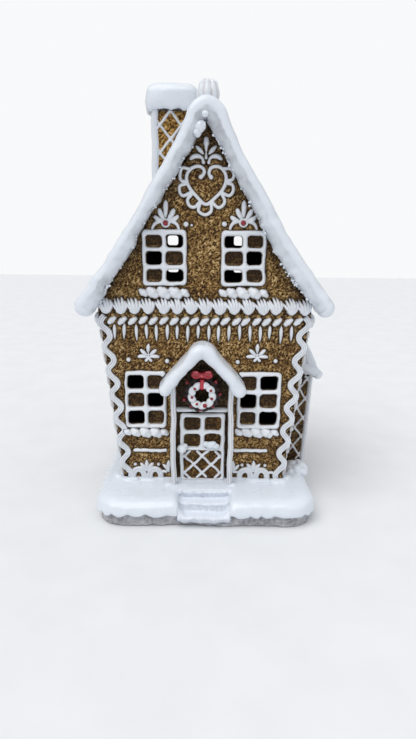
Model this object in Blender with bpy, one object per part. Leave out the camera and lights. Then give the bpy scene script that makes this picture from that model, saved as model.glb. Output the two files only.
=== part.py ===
"""Gingerbread house ornament, cast and painted.

A hollow two-storey house with tapered walls, a steep snow-covered roof, a
chimney and a lean-to at the right side.  It stands on a moulded snow base with
a rough stone rim.  Icing work lies on the walls as separate raised pieces.

Frame: millimetres in the helpers, metres in the mesh.  X to the right, +Y to
the back, +Z up.  The front wall faces -Y.  Z = 0 is the underside, and X = 0,
Y = 0 is the middle of the whole piece.
"""
import math

import bmesh
import bpy
from mathutils import Matrix, Vector

# ---------------------------------------------------------------- dimensions
MM = 0.001
GAP = 0.3                      # clearance between touching pieces

BASE_LEFT, BASE_RIGHT = -67.0, 70.0
BASE_FRONT, BASE_BACK = -67.0, 67.16
BASE_CORNER = 18.0             # plan radius of the corners
ROCK_TOP = 9.0
SNOW_TOP = 17.0
SKIRT_IN = 2.4                 # thickness of the snow skirt that laps the rock

FLOOR = SNOW_TOP + GAP         # foot of the walls
WALL_T = 4.0
FRONT_Y = -34.0                # outer face of the front wall
BACK_Y = 51.0                  # outer face of the back wall
WALL_FOOT = 50.8               # half width at the floor
WALL_HEAD = 63.3               # half width at the eaves line
HEAD_Z = 123.0
EAVE_Z = 126.0                 # top of the side walls
TAPER = math.atan((WALL_HEAD - WALL_FOOT) / (HEAD_Z - FLOOR))

ROOF_APEX = 230.3              # apex of the underside of the snow lip
ROOF_SLOPE = 1.75              # rise over run in the upper part
ROOF_BREAK = 30.0              # half width where the slope starts to ease
ROOF_END = 65.3                # half width where the slab ends
EAVE_SLOPE = 1.15
ROOF_FRONT, ROOF_BACK = -46.5, 61.5
LIP = 6.5                      # depth of the snow lip that hangs over the panel
SNOW_THIN, SNOW_THICK = 9.7, 12.0
PANEL_IN, PANEL_OUT = 0.5, 3.5
UNEVEN = 0.05                  # hand-worked unevenness of the slab

CHIM_X0, CHIM_X1 = -33.5, -9.5
CHIM_Y0, CHIM_Y1 = 9.0, 33.0
CHIM_TOP = 244.2
CAP_TOP = 259.5
CAP_OVER = 3.6

PORCH_X = -1.0                 # the porch and the door sit a touch left
PORCH_FRONT = -52.0
POST_X, POST_Y, POST_R = 17.6, -42.0, 2.1
POST_TOP = 79.0

STEP_X, STEP_HALF = 0.75, 15.6
TREADS = ((-50.0, 12.2), (-58.6, 7.4))      # back edge in Y, height
STEP_FRONT = -67.0
STEP_FLOOR = 3.4

ANNEX_Y0, ANNEX_Y1 = -8.0, 34.0
ANNEX_FOOT, ANNEX_HEAD = 67.6, 70.6         # outer half width, foot and head
ANNEX_TOP = 79.0

ICING = 2.0                    # height of flat icing over the wall

# ---------------------------------------------------------------- scene setup
for ob in list(bpy.data.objects):
    bpy.data.objects.remove(ob, do_unlink=True)

parts = bpy.data.collections.new("gingerbread_house")
cutters = bpy.data.collections.new("cutters")
bpy.context.scene.collection.children.link(parts)
bpy.context.scene.collection.children.link(cutters)


def principled(name, rgb, rough, metallic=0.0):
    mat = bpy.data.materials.new(name)
    mat.use_nodes = True
    bsdf = mat.node_tree.nodes["Principled BSDF"]
    bsdf.inputs["Base Color"].default_value = (*rgb, 1.0)
    bsdf.inputs["Roughness"].default_value = rough
    bsdf.inputs["Metallic"].default_value = metallic
    return mat


COLOURS = {
    "gingerbread": ((0.20, 0.12, 0.045), 0.6),
    "dark_gingerbread": ((0.04, 0.02, 0.01), 0.6),
    "icing": ((0.78, 0.80, 0.83), 0.4),
    "snow": ((0.84, 0.87, 0.92), 0.3),
    "rock": ((0.36, 0.37, 0.40), 0.9),
    "red": ((0.33, 0.01, 0.02), 0.35),
}


# ---------------------------------------------------------------- placement
def front(w=0.0):
    """(u, v, w) on the front wall: u right, v up, w out of the wall."""
    return Matrix(((1, 0, 0, 0), (0, 0, -1, FRONT_Y - w), (0, 1, 0, 0), (0, 0, 0, 1)))


def back(w=0.0):
    return Matrix(((-1, 0, 0, 0), (0, 0, 1, BACK_Y + w), (0, 1, 0, 0), (0, 0, 0, 1)))


def side(sign, w=0.0):
    """(u, v, w) on a leaning side wall; v = 0 is the floor line."""
    s, c = math.sin(TAPER), math.cos(TAPER)
    n = Vector((sign * c, 0, -s))
    up = Vector((sign * s, 0, c))
    u = Vector((0, sign, 0))
    o = Vector((sign * WALL_FOOT, 0, FLOOR)) + n * w
    return Matrix(((u.x, up.x, n.x, o.x), (u.y, up.y, n.y, o.y),
                   (u.z, up.z, n.z, o.z), (0, 0, 0, 1)))


FLAT = Matrix.Identity(4)


def finish(name, mesh, slot, matrix=FLAT, smooth=None, collection=parts):
    """Places a mesh built in millimetres and gives it its own material."""
    mesh.transform(matrix)
    mesh.transform(Matrix.Scale(MM, 4))
    bm = bmesh.new()
    bm.from_mesh(mesh)
    bmesh.ops.remove_doubles(bm, verts=bm.verts, dist=0.00001)
    bmesh.ops.recalc_face_normals(bm, faces=bm.faces)
    bm.to_mesh(mesh)
    bm.free()
    ob = bpy.data.objects.new(name, mesh)
    if slot:
        rgb, rough = COLOURS[slot]
        mesh.materials.clear()
        mesh.materials.append(principled(name + "_" + slot, rgb, rough))
    if smooth:
        mesh.shade_smooth()
        mesh.set_sharp_from_angle(angle=math.radians(smooth))
    collection.objects.link(ob)
    return ob


def plate(name, loops, depth, slot, matrix, w=0.0, collection=parts):
    """A flat outline with holes, as a filled 2D curve of the given depth."""
    data = bpy.data.curves.new(name, "CURVE")
    data.dimensions = "2D"
    data.fill_mode = "BOTH"
    data.extrude = depth / 2
    for loop in loops:
        sp = data.splines.new("POLY")
        sp.points.add(len(loop) - 1)
        for p, (x, y) in zip(sp.points, loop):
            p.co = (x, y, 0, 1)
        sp.use_cyclic_u = True
    tmp = bpy.data.objects.new(name + "_c", data)
    bpy.context.scene.collection.objects.link(tmp)
    dg = bpy.context.evaluated_depsgraph_get()
    mesh = bpy.data.meshes.new_from_object(tmp.evaluated_get(dg))
    bpy.data.objects.remove(tmp, do_unlink=True)
    bpy.data.curves.remove(data)
    mesh.name = name
    return finish(name, mesh, slot,
                  matrix @ Matrix.Translation((0, 0, w + depth / 2)), collection=collection)


def tube(name, points, radius, slot, matrix=FLAT, resolution=2, closed=False):
    """A round strand along a path."""
    data = bpy.data.curves.new(name, "CURVE")
    data.dimensions = "3D"
    data.bevel_depth = radius
    data.bevel_resolution = resolution
    data.use_fill_caps = True
    sp = data.splines.new("POLY")
    sp.points.add(len(points) - 1)
    for p, co in zip(sp.points, points):
        p.co = (*co, 1)
    sp.use_cyclic_u = closed
    tmp = bpy.data.objects.new(name + "_c", data)
    bpy.context.scene.collection.objects.link(tmp)
    dg = bpy.context.evaluated_depsgraph_get()
    mesh = bpy.data.meshes.new_from_object(tmp.evaluated_get(dg))
    bpy.data.objects.remove(tmp, do_unlink=True)
    bpy.data.curves.remove(data)
    mesh.name = name
    return finish(name, mesh, slot, matrix, smooth=50)


def loft(name, rings, slot, matrix=FLAT, smooth=None, collection=parts):
    """A closed skin over like-numbered rings, capped at both ends."""
    mesh = bpy.data.meshes.new(name)
    bm = bmesh.new()
    rows = [[bm.verts.new(p) for p in ring] for ring in rings]
    n = len(rows[0])
    for a, b in zip(rows, rows[1:]):
        for i in range(n):
            j = (i + 1) % n
            bm.faces.new((a[i], a[j], b[j], b[i]))
    bm.faces.new(rows[0][::-1])
    bm.faces.new(rows[-1])
    bmesh.ops.recalc_face_normals(bm, faces=bm.faces)
    bmesh.ops.triangulate(bm, faces=[f for f in bm.faces if len(f.verts) > 4])
    bm.to_mesh(mesh)
    bm.free()
    return finish(name, mesh, slot, matrix, smooth, collection)


def ball(name, centre, scale, slot, matrix=FLAT, subdivisions=2):
    mesh = bpy.data.meshes.new(name)
    bm = bmesh.new()
    bmesh.ops.create_icosphere(bm, subdivisions=subdivisions, radius=1.0)
    bmesh.ops.transform(bm, matrix=Matrix.Translation(centre) @ Matrix.Diagonal((*scale, 1)),
                        verts=bm.verts)
    bm.to_mesh(mesh)
    bm.free()
    return finish(name, mesh, slot, matrix, smooth=50)


def box_mesh(name, lo, hi, slot, matrix=FLAT, collection=parts):
    mesh = bpy.data.meshes.new(name)
    bm = bmesh.new()
    bmesh.ops.create_cube(bm, size=1.0)
    size = [h - l for l, h in zip(lo, hi)]
    mid = [(h + l) / 2 for l, h in zip(lo, hi)]
    bmesh.ops.transform(bm, matrix=Matrix.Translation(mid) @ Matrix.Diagonal((*size, 1)),
                        verts=bm.verts)
    bm.to_mesh(mesh)
    bm.free()
    return finish(name, mesh, slot, matrix, collection=collection)


def as_cutter(ob):
    ob.hide_render = True
    ob.display_type = "WIRE"
    return ob


def cut(ob, cutter):
    mod = ob.modifiers.new("cut_" + cutter.name, "BOOLEAN")
    mod.operation = "DIFFERENCE"
    mod.solver = "EXACT"
    mod.object = cutter


# ---------------------------------------------------------------- base
def base_outline(count, inset, wave):
    """Rounded rectangle in plan, with a slow waviness in its edge."""
    cx, cy = (BASE_LEFT + BASE_RIGHT) / 2, (BASE_FRONT + BASE_BACK) / 2
    hx, hy = (BASE_RIGHT - BASE_LEFT) / 2 - wave, (BASE_BACK - BASE_FRONT) / 2 - wave
    r = BASE_CORNER
    straight = (2 * (hx - r), 2 * (hy - r), math.pi / 2 * r)
    total = 2 * straight[0] + 2 * straight[1] + 4 * straight[2]
    out = []
    for k in range(count):
        d = k / count * total
        pos = None
        for corner in range(4):
            along = straight[corner % 2]
            ang = corner * math.pi / 2
            ex, ey = math.cos(ang), math.sin(ang)          # direction of travel
            nx, ny = ey, -ex                               # outward normal
            half = (hx, hy) if corner % 2 == 0 else (hy, hx)
            if d < along:
                t = d - along / 2
                pos = (ex * t + nx * half[1], ey * t + ny * half[1], nx, ny)
                break
            d -= along
            if d < straight[2]:
                a = d / r
                ccx = ex * (half[0] - r) + nx * (half[1] - r)
                ccy = ey * (half[0] - r) + ny * (half[1] - r)
                mx = nx * math.cos(a) + ex * math.sin(a)
                my = ny * math.cos(a) + ey * math.sin(a)
                pos = (ccx + mx * r, ccy + my * r, mx, my)
                break
            d -= straight[2]
        x, y, mx, my = pos
        a = 2 * math.pi * k / count
        ripple = wave * (0.5 * math.sin(5 * a + 0.7) + 0.5 * math.sin(9 * a + 2.1))
        out.append((cx + x + mx * (ripple - inset), cy + y + my * (ripple - inset), a))
    return out


COUNT = 48
STONE = 0.9


def rock_ring(z, inset, rough):
    ring = []
    for k, (x, y, a) in enumerate(base_outline(COUNT, inset + SKIRT_IN + GAP, STONE)):
        jag = rough * (0.6 * math.sin(13.0 * k + 1.3 * z) + 0.4 * math.sin(29.0 * k + z))
        ring.append((x + jag * math.cos(a), y + jag * math.sin(a), z))
    return ring


rock = loft("base_rock", [rock_ring(0.0, 1.2, 0.3),
                          rock_ring(4.0, 0.7, 0.7), rock_ring(ROCK_TOP, 0.5, 0.0)], "rock")


def skirt_z(a):
    """Lower edge of the snow: drips of uneven length round the rim."""
    return 5.6 + 1.7 * math.sin(17 * a) + 0.9 * math.sin(7 * a + 1.1)


def snow_ring(inset, z=None, low=0.0):
    return [(x, y, skirt_z(a) + low if z is None else z)
            for x, y, a in base_outline(COUNT, inset, STONE)]


base_snow = loft("base_snow", [
    snow_ring(SKIRT_IN, ROCK_TOP + GAP), snow_ring(SKIRT_IN),
    snow_ring(0.0, None, 1.6), snow_ring(0.9, 13.0), snow_ring(2.6, 15.2),
    snow_ring(6.0, 16.6), snow_ring(10.0, SNOW_TOP)], "snow", smooth=60)

step_cut = as_cutter(box_mesh(
    "step_cut", (STEP_X - STEP_HALF - GAP, -90, STEP_FLOOR - GAP),
    (STEP_X + STEP_HALF + GAP, TREADS[0][0] + GAP, 40), None, collection=cutters))
cut(rock, step_cut)
skirt_cut = as_cutter(box_mesh(
    "skirt_cut", (STEP_X - STEP_HALF - GAP, -91, -5),
    (STEP_X + STEP_HALF + GAP, TREADS[0][0] + GAP, 41), None, collection=cutters))
cut(base_snow, skirt_cut)

nose = 1.0                                   # rounded nose of each tread
profile = [(TREADS[0][0], STEP_FLOOR), (TREADS[0][0], TREADS[0][1] + 0.6)]
for (y0, z), y1 in zip(TREADS, (TREADS[1][0], STEP_FRONT)):
    profile += [(y0 - 1.0, z), (y1 + nose, z + 0.1), (y1 + 0.2, z - 0.5), (y1, z - nose - 0.4),
                (y1 + 0.7, z - 2.6)]
profile += [(STEP_FRONT + 1.2, STEP_FLOOR)]
plate("steps", [profile], 2 * STEP_HALF, "snow",
      Matrix(((0, 0, 1, STEP_X - STEP_HALF), (1, 0, 0, 0), (0, 1, 0, 0), (0, 0, 0, 1))))


# ---------------------------------------------------------------- walls
def wall_half(z):
    return WALL_FOOT + (z - FLOOR) * math.tan(TAPER)


def roof_z(x):
    """Underside of the snow lip at a half width."""
    if x <= ROOF_BREAK:
        return ROOF_APEX - ROOF_SLOPE * x
    t = x - ROOF_BREAK
    ease = (ROOF_SLOPE - EAVE_SLOPE) / (72.0 - ROOF_BREAK)
    return ROOF_APEX - ROOF_SLOPE * ROOF_BREAK - (ROOF_SLOPE * t - 0.5 * ease * t * t)


def roof_normal(x):
    s = ROOF_SLOPE
    if x > ROOF_BREAK:
        s -= (x - ROOF_BREAK) * (ROOF_SLOPE - EAVE_SLOPE) / (72.0 - ROOF_BREAK)
    n = math.hypot(s, 1)
    return s / n, 1 / n


def roof_point(x, off, sign=1):
    nx, nz = roof_normal(x)
    return sign * (x + nx * off), roof_z(x) + nz * off


def gable_outline():
    pts = [(-WALL_FOOT, FLOOR), (WALL_FOOT, FLOOR), (wall_half(EAVE_Z - 0.6), EAVE_Z - 0.6)]
    xs = [60.0, 50.0, 40.0, 30.0, 2.0]
    pts += [(roof_point(x, -0.3)) for x in xs]
    apex = ROOF_APEX - 0.8
    pts.append((0.0, apex))
    pts += [roof_point(x, -0.3, -1) for x in reversed(xs)]
    pts.append((-wall_half(EAVE_Z - 0.6), EAVE_Z - 0.6))
    return pts


def rect(x0, z0, x1, z1):
    return [(x0, z0), (x1, z0), (x1, z1), (x0, z1)]


def soft_rect(x0, z0, x1, z1, r):
    return [(x0 + r, z0), (x1 - r, z0), (x1, z0 + r), (x1, z1 - r),
            (x1 - r, z1), (x0 + r, z1), (x0, z1 - r), (x0, z0 + r)]


class Window:
    """A sash of two columns and three rows.  open is the set of panes, as
    (column, row), that are cut right through the wall."""

    def __init__(self, cols, rows, outer, open_panes):
        self.cols, self.rows, self.outer, self.open = cols, rows, outer, open_panes

    def panes(self, grow=0.0):
        """Pane rectangles; hand-cut, so no two sit on quite the same line."""
        for c, (x0, x1) in enumerate(self.cols):
            for r, (z0, z1) in enumerate(self.rows):
                dx, dz = 0.09 * ((c + 2 * r) % 3 - 1), 0.16 * (c - 0.5)
                yield (c, r), (x0 - grow + dx, z0 - grow + dz, x1 + grow + dx, z1 + grow + dz)

    def frame(self):
        loops = [soft_rect(*self.outer, 1.2)]
        loops += [soft_rect(*b, 1.3) for _, b in self.panes()]
        return loops

    def holes(self):
        return [rect(*b) for k, b in self.panes(-0.9) if k in self.open]


ODD = {(0, 0), (1, 1), (0, 2)}               # open panes in a draughtboard
EVEN = {(1, 0), (0, 1), (1, 2)}
UP_ROWS = ((162.2, 169.3), (152.4, 160.1), (142.7, 149.8))
LOW_ROWS = ((77.0, 85.6), (65.4, 74.3), (54.2, 62.8))

WINDOWS = {
    "upper_left": Window(((-34.4, -25.2), (-22.8, -12.9)), UP_ROWS, (-36.6, 140.4, -10.7, 172.4), EVEN),
    "upper_right": Window(((11.4, 21.6), (24.2, 33.2)), UP_ROWS, (9.3, 140.4, 35.3, 172.2), ODD),
    "lower_left": Window(((-47.2, -37.1), (-34.7, -25.2)), LOW_ROWS, (-48.9, 51.6, -23.2, 88.4), ODD),
    "lower_right": Window(((22.7, 32.2), (34.7, 45.3)), LOW_ROWS, (20.6, 51.6, 47.6, 88.4), EVEN),
}
BACK_WINDOWS = {
    "back_upper_left": Window(((-28.2, -20.0), (-17.4, -9.6)), UP_ROWS, (-30.2, 140.4, -7.6, 172.4), ODD),
    "back_upper_right": Window(((9.6, 17.4), (20.0, 28.2)), UP_ROWS, (7.6, 140.4, 30.2, 172.4), EVEN),
}
SIDE_WINDOWS = {
    "left_front": Window(((-35.6, -25.6), (-22.9, -12.9)), ((60, 68.5), (48.5, 57), (37.2, 45.5)),
                         (-38.0, 34.8, -10.5, 71.0), ODD),
    "left_back": Window(((-3.9, 6.1), (8.8, 18.8)), ((60, 68.5), (48.5, 57), (37.2, 45.5)),
                        (-6.3, 34.8, 21.2, 71.0), EVEN),
}

plate("wall_front", [gable_outline()] + [h for w in WINDOWS.values() for h in w.holes()],
      WALL_T, "gingerbread", front(), -WALL_T)
plate("wall_back", [gable_outline()] + [h for w in BACK_WINDOWS.values() for h in w.holes()],
      WALL_T, "gingerbread", back(), -WALL_T)
side_len = (EAVE_Z - FLOOR) / math.cos(TAPER)
FRONT_IN, BACK_IN = FRONT_Y + WALL_T + GAP, BACK_Y - WALL_T - GAP
plate("wall_left", [rect(-BACK_IN, 0.6, -FRONT_IN, side_len)]
      + [h for w in SIDE_WINDOWS.values() for h in w.holes()],
      WALL_T, "gingerbread", side(-1), -WALL_T)
plate("wall_right", [rect(FRONT_IN, 0.6, BACK_IN, side_len)], WALL_T, "gingerbread",
      side(1), -WALL_T)

# ---------------------------------------------------------------- roof
XS = (0.0, 15.0, 30.0, 40.0, 50.0, 60.0)


def snow_depth(x):
    t = min(1.0, x / 54.0)
    return SNOW_THIN + (SNOW_THICK - SNOW_THIN) * t * t


def roof_half(inset, under, arc=2, grow=0.0):
    """Right half of the slab's section, from the apex round to the apex."""
    pts = []
    a1 = math.atan2(roof_normal(0)[1], roof_normal(0)[0])
    rad = SNOW_THIN - inset + grow
    for k in range(arc):
        a = math.pi / 2 + (a1 - math.pi / 2) * k / arc
        pts.append((rad * math.cos(a), ROOF_APEX + rad * math.sin(a)))
    for x in XS:
        pts.append(roof_point(x, snow_depth(x) - inset + grow))
    top = snow_depth(ROOF_END)
    nx, nz = roof_normal(ROOF_END)
    mid = (ROOF_END + nx * top / 2, roof_z(ROOF_END) + nz * top / 2)
    rad = top / 2 - inset + grow
    for k in range(5):
        a = math.atan2(nz, nx) - math.pi * k / 4
        pts.append((mid[0] + rad * math.cos(a), mid[1] + rad * math.sin(a)))
    pts.append(roof_point(63.1, inset))
    pts.append(roof_point(62.8, max(under, inset)))
    for x in reversed(XS):
        off = max(under, inset)
        pts.append(roof_point(x, off) if x else (0.0, ROOF_APEX + off / roof_normal(0)[1]))
    return pts


def uneven(k, y):
    """Slight hand-worked unevenness of a moulded surface."""
    return UNEVEN * math.sin(12.9898 * k + 7.233 * y)


def roof_ring(y, inset, under):
    half = roof_half(inset, under)
    ring = [(x, z) for x, z in half] + [(-x, z) for x, z in reversed(half[1:-1])]
    return [(x + uneven(k, y), y + uneven(k + 31, y), z + uneven(k + 57, y))
            for k, (x, z) in enumerate(ring)]


UNDER = PANEL_OUT + GAP
loft("roof_snow", [
    roof_ring(ROOF_BACK, 2.6, 0), roof_ring(ROOF_BACK - 2.6, 0, 0),
    roof_ring(ROOF_BACK - LIP, 0, 0), roof_ring(ROOF_BACK - LIP - 0.6, 0, UNDER),
    roof_ring(ROOF_FRONT + LIP + 0.6, 0, UNDER), roof_ring(ROOF_FRONT + LIP, 0, 0),
    roof_ring(ROOF_FRONT + 2.6, 0, 0), roof_ring(ROOF_FRONT, 2.6, 0)],
    "snow", smooth=60)

panel = [(0.0, ROOF_APEX + PANEL_OUT / roof_normal(0)[1])]
panel += [roof_point(x, PANEL_OUT) for x in XS[1:]] + [roof_point(62.4, PANEL_OUT)]
panel += [roof_point(62.4, PANEL_IN)] + [roof_point(x, PANEL_IN) for x in reversed(XS[1:])]
panel += [(0.0, ROOF_APEX + PANEL_IN / roof_normal(0)[1])]
panel += [(-x, z) for x, z in reversed(panel[1:-1])]
PANEL_IN_BACK = ROOF_BACK - LIP - 0.6 - GAP
panel_len = PANEL_IN_BACK - (ROOF_FRONT + LIP + 0.6 + GAP)
plate("roof_panel", [panel], panel_len, "gingerbread",
      Matrix(((1, 0, 0, 0), (0, 0, -1, PANEL_IN_BACK), (0, 1, 0, 0), (0, 0, 0, 1))))

# everything above the roof is trimmed to this
clear = roof_half(0.0, 0.0, grow=GAP)[:13]
clear = [(x, z) for x, z in clear] + [(84, 60), (-84, 60)] + [(-x, z) for x, z in reversed(clear[1:])]
roof_cut = as_cutter(plate("roof_cut", [clear], 140, None,
                           Matrix(((1, 0, 0, 0), (0, 0, -1, 78), (0, 1, 0, 0), (0, 0, 0, 1))),
                           collection=cutters))


def pulse_row(name, u0, u1, count, v, half_h, height, slot, matrix, sides=7, per=3, valley=0.55, lean=0.0):
    """A row of joined piped blobs, flat to the wall.  Each ring is a half
    ellipse; its size swells and shrinks once for every blob."""
    rings = []
    total = count * per
    for k in range(total + 1):
        t = (k % per) / per
        swell = valley + (1 - valley) * math.sin(math.pi * t) ** 0.8 if k % per else valley
        if k in (0, total):
            swell = valley * 0.75
        u = u0 + (u1 - u0) * k / total
        ring = []
        for i in range(sides):
            a = math.pi * i / (sides - 1)
            ring.append((u + lean * math.cos(a) * half_h * swell, v + half_h * swell * math.cos(a),
                         max(0.0, height * swell * math.sin(a))))
        rings.append(ring)
    return loft(name, rings, slot, matrix, smooth=60)


# ridge: a row of piped shells, the first of them standing over the gable
ridge_z = ROOF_APEX + SNOW_THIN + GAP
rings = []
shells, per = 8, 3
for k in range(shells * per + 1):
    t = (k % per) / per
    s = 0.66 + 0.34 * math.sin(math.pi * t)
    if k in (0, shells * per):
        s = 0.5
    y = -43.5 + (ROOF_BACK - 2 + 43.5) * k / (shells * per)
    rings.append([(5.6 * s * math.cos(a), y, ridge_z + 9.4 * s * math.sin(a) ** 0.8)
                  for a in [math.pi * i / 6 for i in range(7)]])
ridge = loft("ridge_shells", rings, "icing", smooth=60)
ridge.data.transform(Matrix.Translation((0.0009, 0, 0)))

# ---------------------------------------------------------------- chimney
shaft = box_mesh("chimney_shaft", (CHIM_X0, CHIM_Y0, 176), (CHIM_X1, CHIM_Y1, CHIM_TOP), "gingerbread")
cut(shaft, roof_cut)


def lattice(x0, z0, x1, z1, pitch_x, pitch_z, strand, phase=(0.0, 0.0), rim=1.6, slant=0.0):
    """Crossing strands in a rim: the outer loop, then one loop for each
    diamond, clipped to the rim."""
    outer = [(x0 + slant * (z0 - z0), z0), (x1, z0), (x1 + slant * (z1 - z0), z1), (x0, z1)]
    loops = [outer]
    hx, hz = pitch_x / 2 - strand * 0.75, pitch_z / 2 - strand * 0.95
    ix0, ix1, iz0, iz1 = x0 + rim, x1 - rim, z0 + rim, z1 - rim
    cols = int((x1 - x0) / pitch_x) + 3
    rows = int((z1 - z0) / pitch_z) + 3
    for half in (0, 1):
        for i in range(-1, cols):
            for j in range(-1, rows):
                cx = x0 + phase[0] + (i + 0.5 * half) * pitch_x
                cz = z0 + phase[1] + (j + 0.5 * half) * pitch_z
                diamond = [(cx, cz - hz), (cx + hx, cz), (cx, cz + hz), (cx - hx, cz)]
                nudge = 0.07 * ((3 * i + 5 * j) % 7)     # the rim is a touch uneven
                for axis, limit, keep in ((0, ix0 + nudge, 1), (0, ix1 - nudge, -1),
                                          (1, iz0 + nudge, 1), (1, iz1 - nudge, -1)):
                    new = []
                    for k in range(len(diamond)):
                        a, b = diamond[k - 1], diamond[k]
                        da, db = (a[axis] - limit) * keep, (b[axis] - limit) * keep
                        if da * db < 0:
                            t = da / (da - db)
                            new.append((a[0] + (b[0] - a[0]) * t, a[1] + (b[1] - a[1]) * t))
                        if db >= 0:
                            new.append(b)
                    diamond = new
                    if not diamond:
                        break
                if len(diamond) > 2:
                    area = sum(p[0] * q[1] - q[0] * p[1]
                               for p, q in zip(diamond, diamond[1:] + diamond[:1])) / 2
                    if area > 2.0:
                        loops.append(diamond)
    return loops


chim_front = Matrix(((1, 0, 0, 0), (0, 0, -1, CHIM_Y0 - GAP), (0, 1, 0, 0), (0, 0, 0, 1)))
lat = plate("chimney_lattice", lattice(CHIM_X0, 196, CHIM_X1, CHIM_TOP, 13.4, 16.0, 1.6, (4.4, 8.2)),
            1.4, "icing", chim_front)
cut(lat, roof_cut)

cx, cy = (CHIM_X0 + CHIM_X1) / 2, (CHIM_Y0 + CHIM_Y1) / 2
hx = (CHIM_X1 - CHIM_X0) / 2


def cap_ring(z, r, wave=0.0):
    ring = []
    for k in range(14):
        a = 2 * math.pi * k / 14
        c, s = math.cos(a), math.sin(a)
        q = (abs(c) ** 4 + abs(s) ** 4) ** -0.25          # squarish plan
        ring.append((cx + r * q * c, cy + r * q * s, z + wave * math.sin(3 * a)))
    return ring


top = hx + CAP_OVER
loft("chimney_cap", [cap_ring(CHIM_TOP + GAP, hx - 1), cap_ring(CHIM_TOP + 0.9, top - 1.2, 0.5),
                     cap_ring(CHIM_TOP + 3.2, top, 0.8), cap_ring(CHIM_TOP + 9.5, top, 0.3),
                     cap_ring(CAP_TOP - 1.6, top - 2.6), cap_ring(CAP_TOP, top - 7.5)],
     "snow", smooth=60)

# ---------------------------------------------------------------- front icing
# flat icing high on the gable ends where the roof comes down over it
notch = [roof_point(66.0, 0.05)] + [roof_point(x, 0.05) for x in (60.0, 50.0, 40.0, 30.0, 2.0)]
notch += [(0.0, ROOF_APEX)] + [(-x, z) for x, z in reversed(notch)]
notch += [(-110, notch[0][1]), (-110, 290), (110, 290), (110, notch[0][1])]
gable_cut = as_cutter(plate("gable_cut", [notch], 150, None,
                            Matrix(((1, 0, 0, 0), (0, 0, -1, 78), (0, 1, 0, 0), (0, 0, 0, 1))),
                            collection=cutters))

porch_trimmed = []
sill_boxes = []
for key, win in WINDOWS.items():
    sash = plate("window_" + key, win.frame(), ICING, "icing", front(), GAP)
    if key.startswith("upper"):
        cut(sash, gable_cut)
    else:
        porch_trimmed.append(sash)
    x0, _, x1, _ = win.outer
    z = win.outer[1] - 3.9
    pulse_row("sill_" + key, x0 - 1.6, x1 + 1.4, 5, z, 3.4, 4.4, "icing", front(GAP), sides=5)
    if key.startswith("lower"):
        sill_boxes.append((x0 - 1.6 - GAP, z - 3.6, x1 + 1.4 + GAP, z + 4.4))


def palmette(cx, cz, petals, r_in, power=0.5):
    """One outline round a fan of petals.  petals is a list of
    (angle, length, half width) with angle from straight up."""
    pts = []
    steps = 40
    for k in range(steps):
        a = 2 * math.pi * k / steps
        r = r_in
        for ang, length, half in petals:
            d = (a - ang + math.pi) % (2 * math.pi) - math.pi
            spread = half / length
            r = max(r, r_in + (length - r_in) * max(0.0, 1 - (d / spread) ** 2) ** power)
        pts.append((cx - r * math.sin(a), cz + r * math.cos(a)))
    return pts


FAN = [(0.0, 10.5, 3.4), (0.72, 9.8, 3.0), (-0.72, 9.8, 3.0), (1.42, 9.2, 2.8), (-1.42, 9.2, 2.8)]
SMALL_FAN = [(0.0, 10.0, 2.6), (0.75, 8.8, 2.6), (-0.75, 8.8, 2.6), (1.5, 9.0, 2.2), (-1.5, 9.0, 2.2)]
UP = [(a, l * 1.35, h * 1.1) for a, l, h in FAN]
cut(plate("palmette_upper_left", [palmette(-22.8, 176.0, UP, 2.6)], 1.6, "icing", front(), GAP), gable_cut)
cut(plate("palmette_upper_right", [palmette(21.6, 176.2, UP, 2.6)], 1.6, "icing", front(), GAP), gable_cut)
plate("palmette_gable", [palmette(0.2, 211.6, FAN, 1.8)], 1.6, "icing", front(), GAP)
plate("palmette_lower_left", [palmette(-34.0, 94.6, SMALL_FAN, 1.8)], 1.6, "icing", front(), GAP)
plate("palmette_lower_right", [palmette(32.1, 95.0, SMALL_FAN, 1.8)], 1.6, "icing", front(), GAP)


def heart(cx, cz, scale, count=28):
    pts = []
    for k in range(count):
        t = 2 * math.pi * k / count
        pts.append((cx + scale * 16 * math.sin(t) ** 3,
                    cz + scale * (13 * math.cos(t) - 5 * math.cos(2 * t) - 2 * math.cos(3 * t) - math.cos(4 * t))))
    return pts


HEART_Z = 198.2
SCALLOPS = [(-12.2, 202.4), (-12.9, 194.0), (-7.4, 187.0), (-0.2, 182.6), (7.6, 187.0), (12.9, 194.2), (12.3, 202.4)]


def scalloped():
    """Outer edge of the piped border: arcs bulging round the heart."""
    pts = []
    for cx, cz in SCALLOPS:
        out = math.atan2(cz - HEART_Z, cx)
        for k in range(5):
            a = out + math.radians(-78 + 39 * k)
            pts.append((cx + 4.3 * math.cos(a), cz + 4.3 * math.sin(a)))
    return pts


rim_top = [(10.0, 207.0), (5.5, 208.6), (0.0, 204.4), (-5.5, 208.6), (-10.0, 207.0)]
holes = []
for cx_, cz_ in SCALLOPS:
    out = math.atan2(cz_ - HEART_Z, cx_)
    holes.append([(cx_ + math.cos(out) * 0.6 + 1.9 * math.cos(out + a), cz_ + math.sin(out) * 0.6 + 2.2 * math.sin(out + a))
                  for a in (-1.1, 0.0, 1.1)])
cut(plate("heart", [scalloped() + rim_top, heart(0.0, HEART_Z - 0.2, 0.60, 18)] + holes, 1.8, "icing", front(), GAP), gable_cut)

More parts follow.
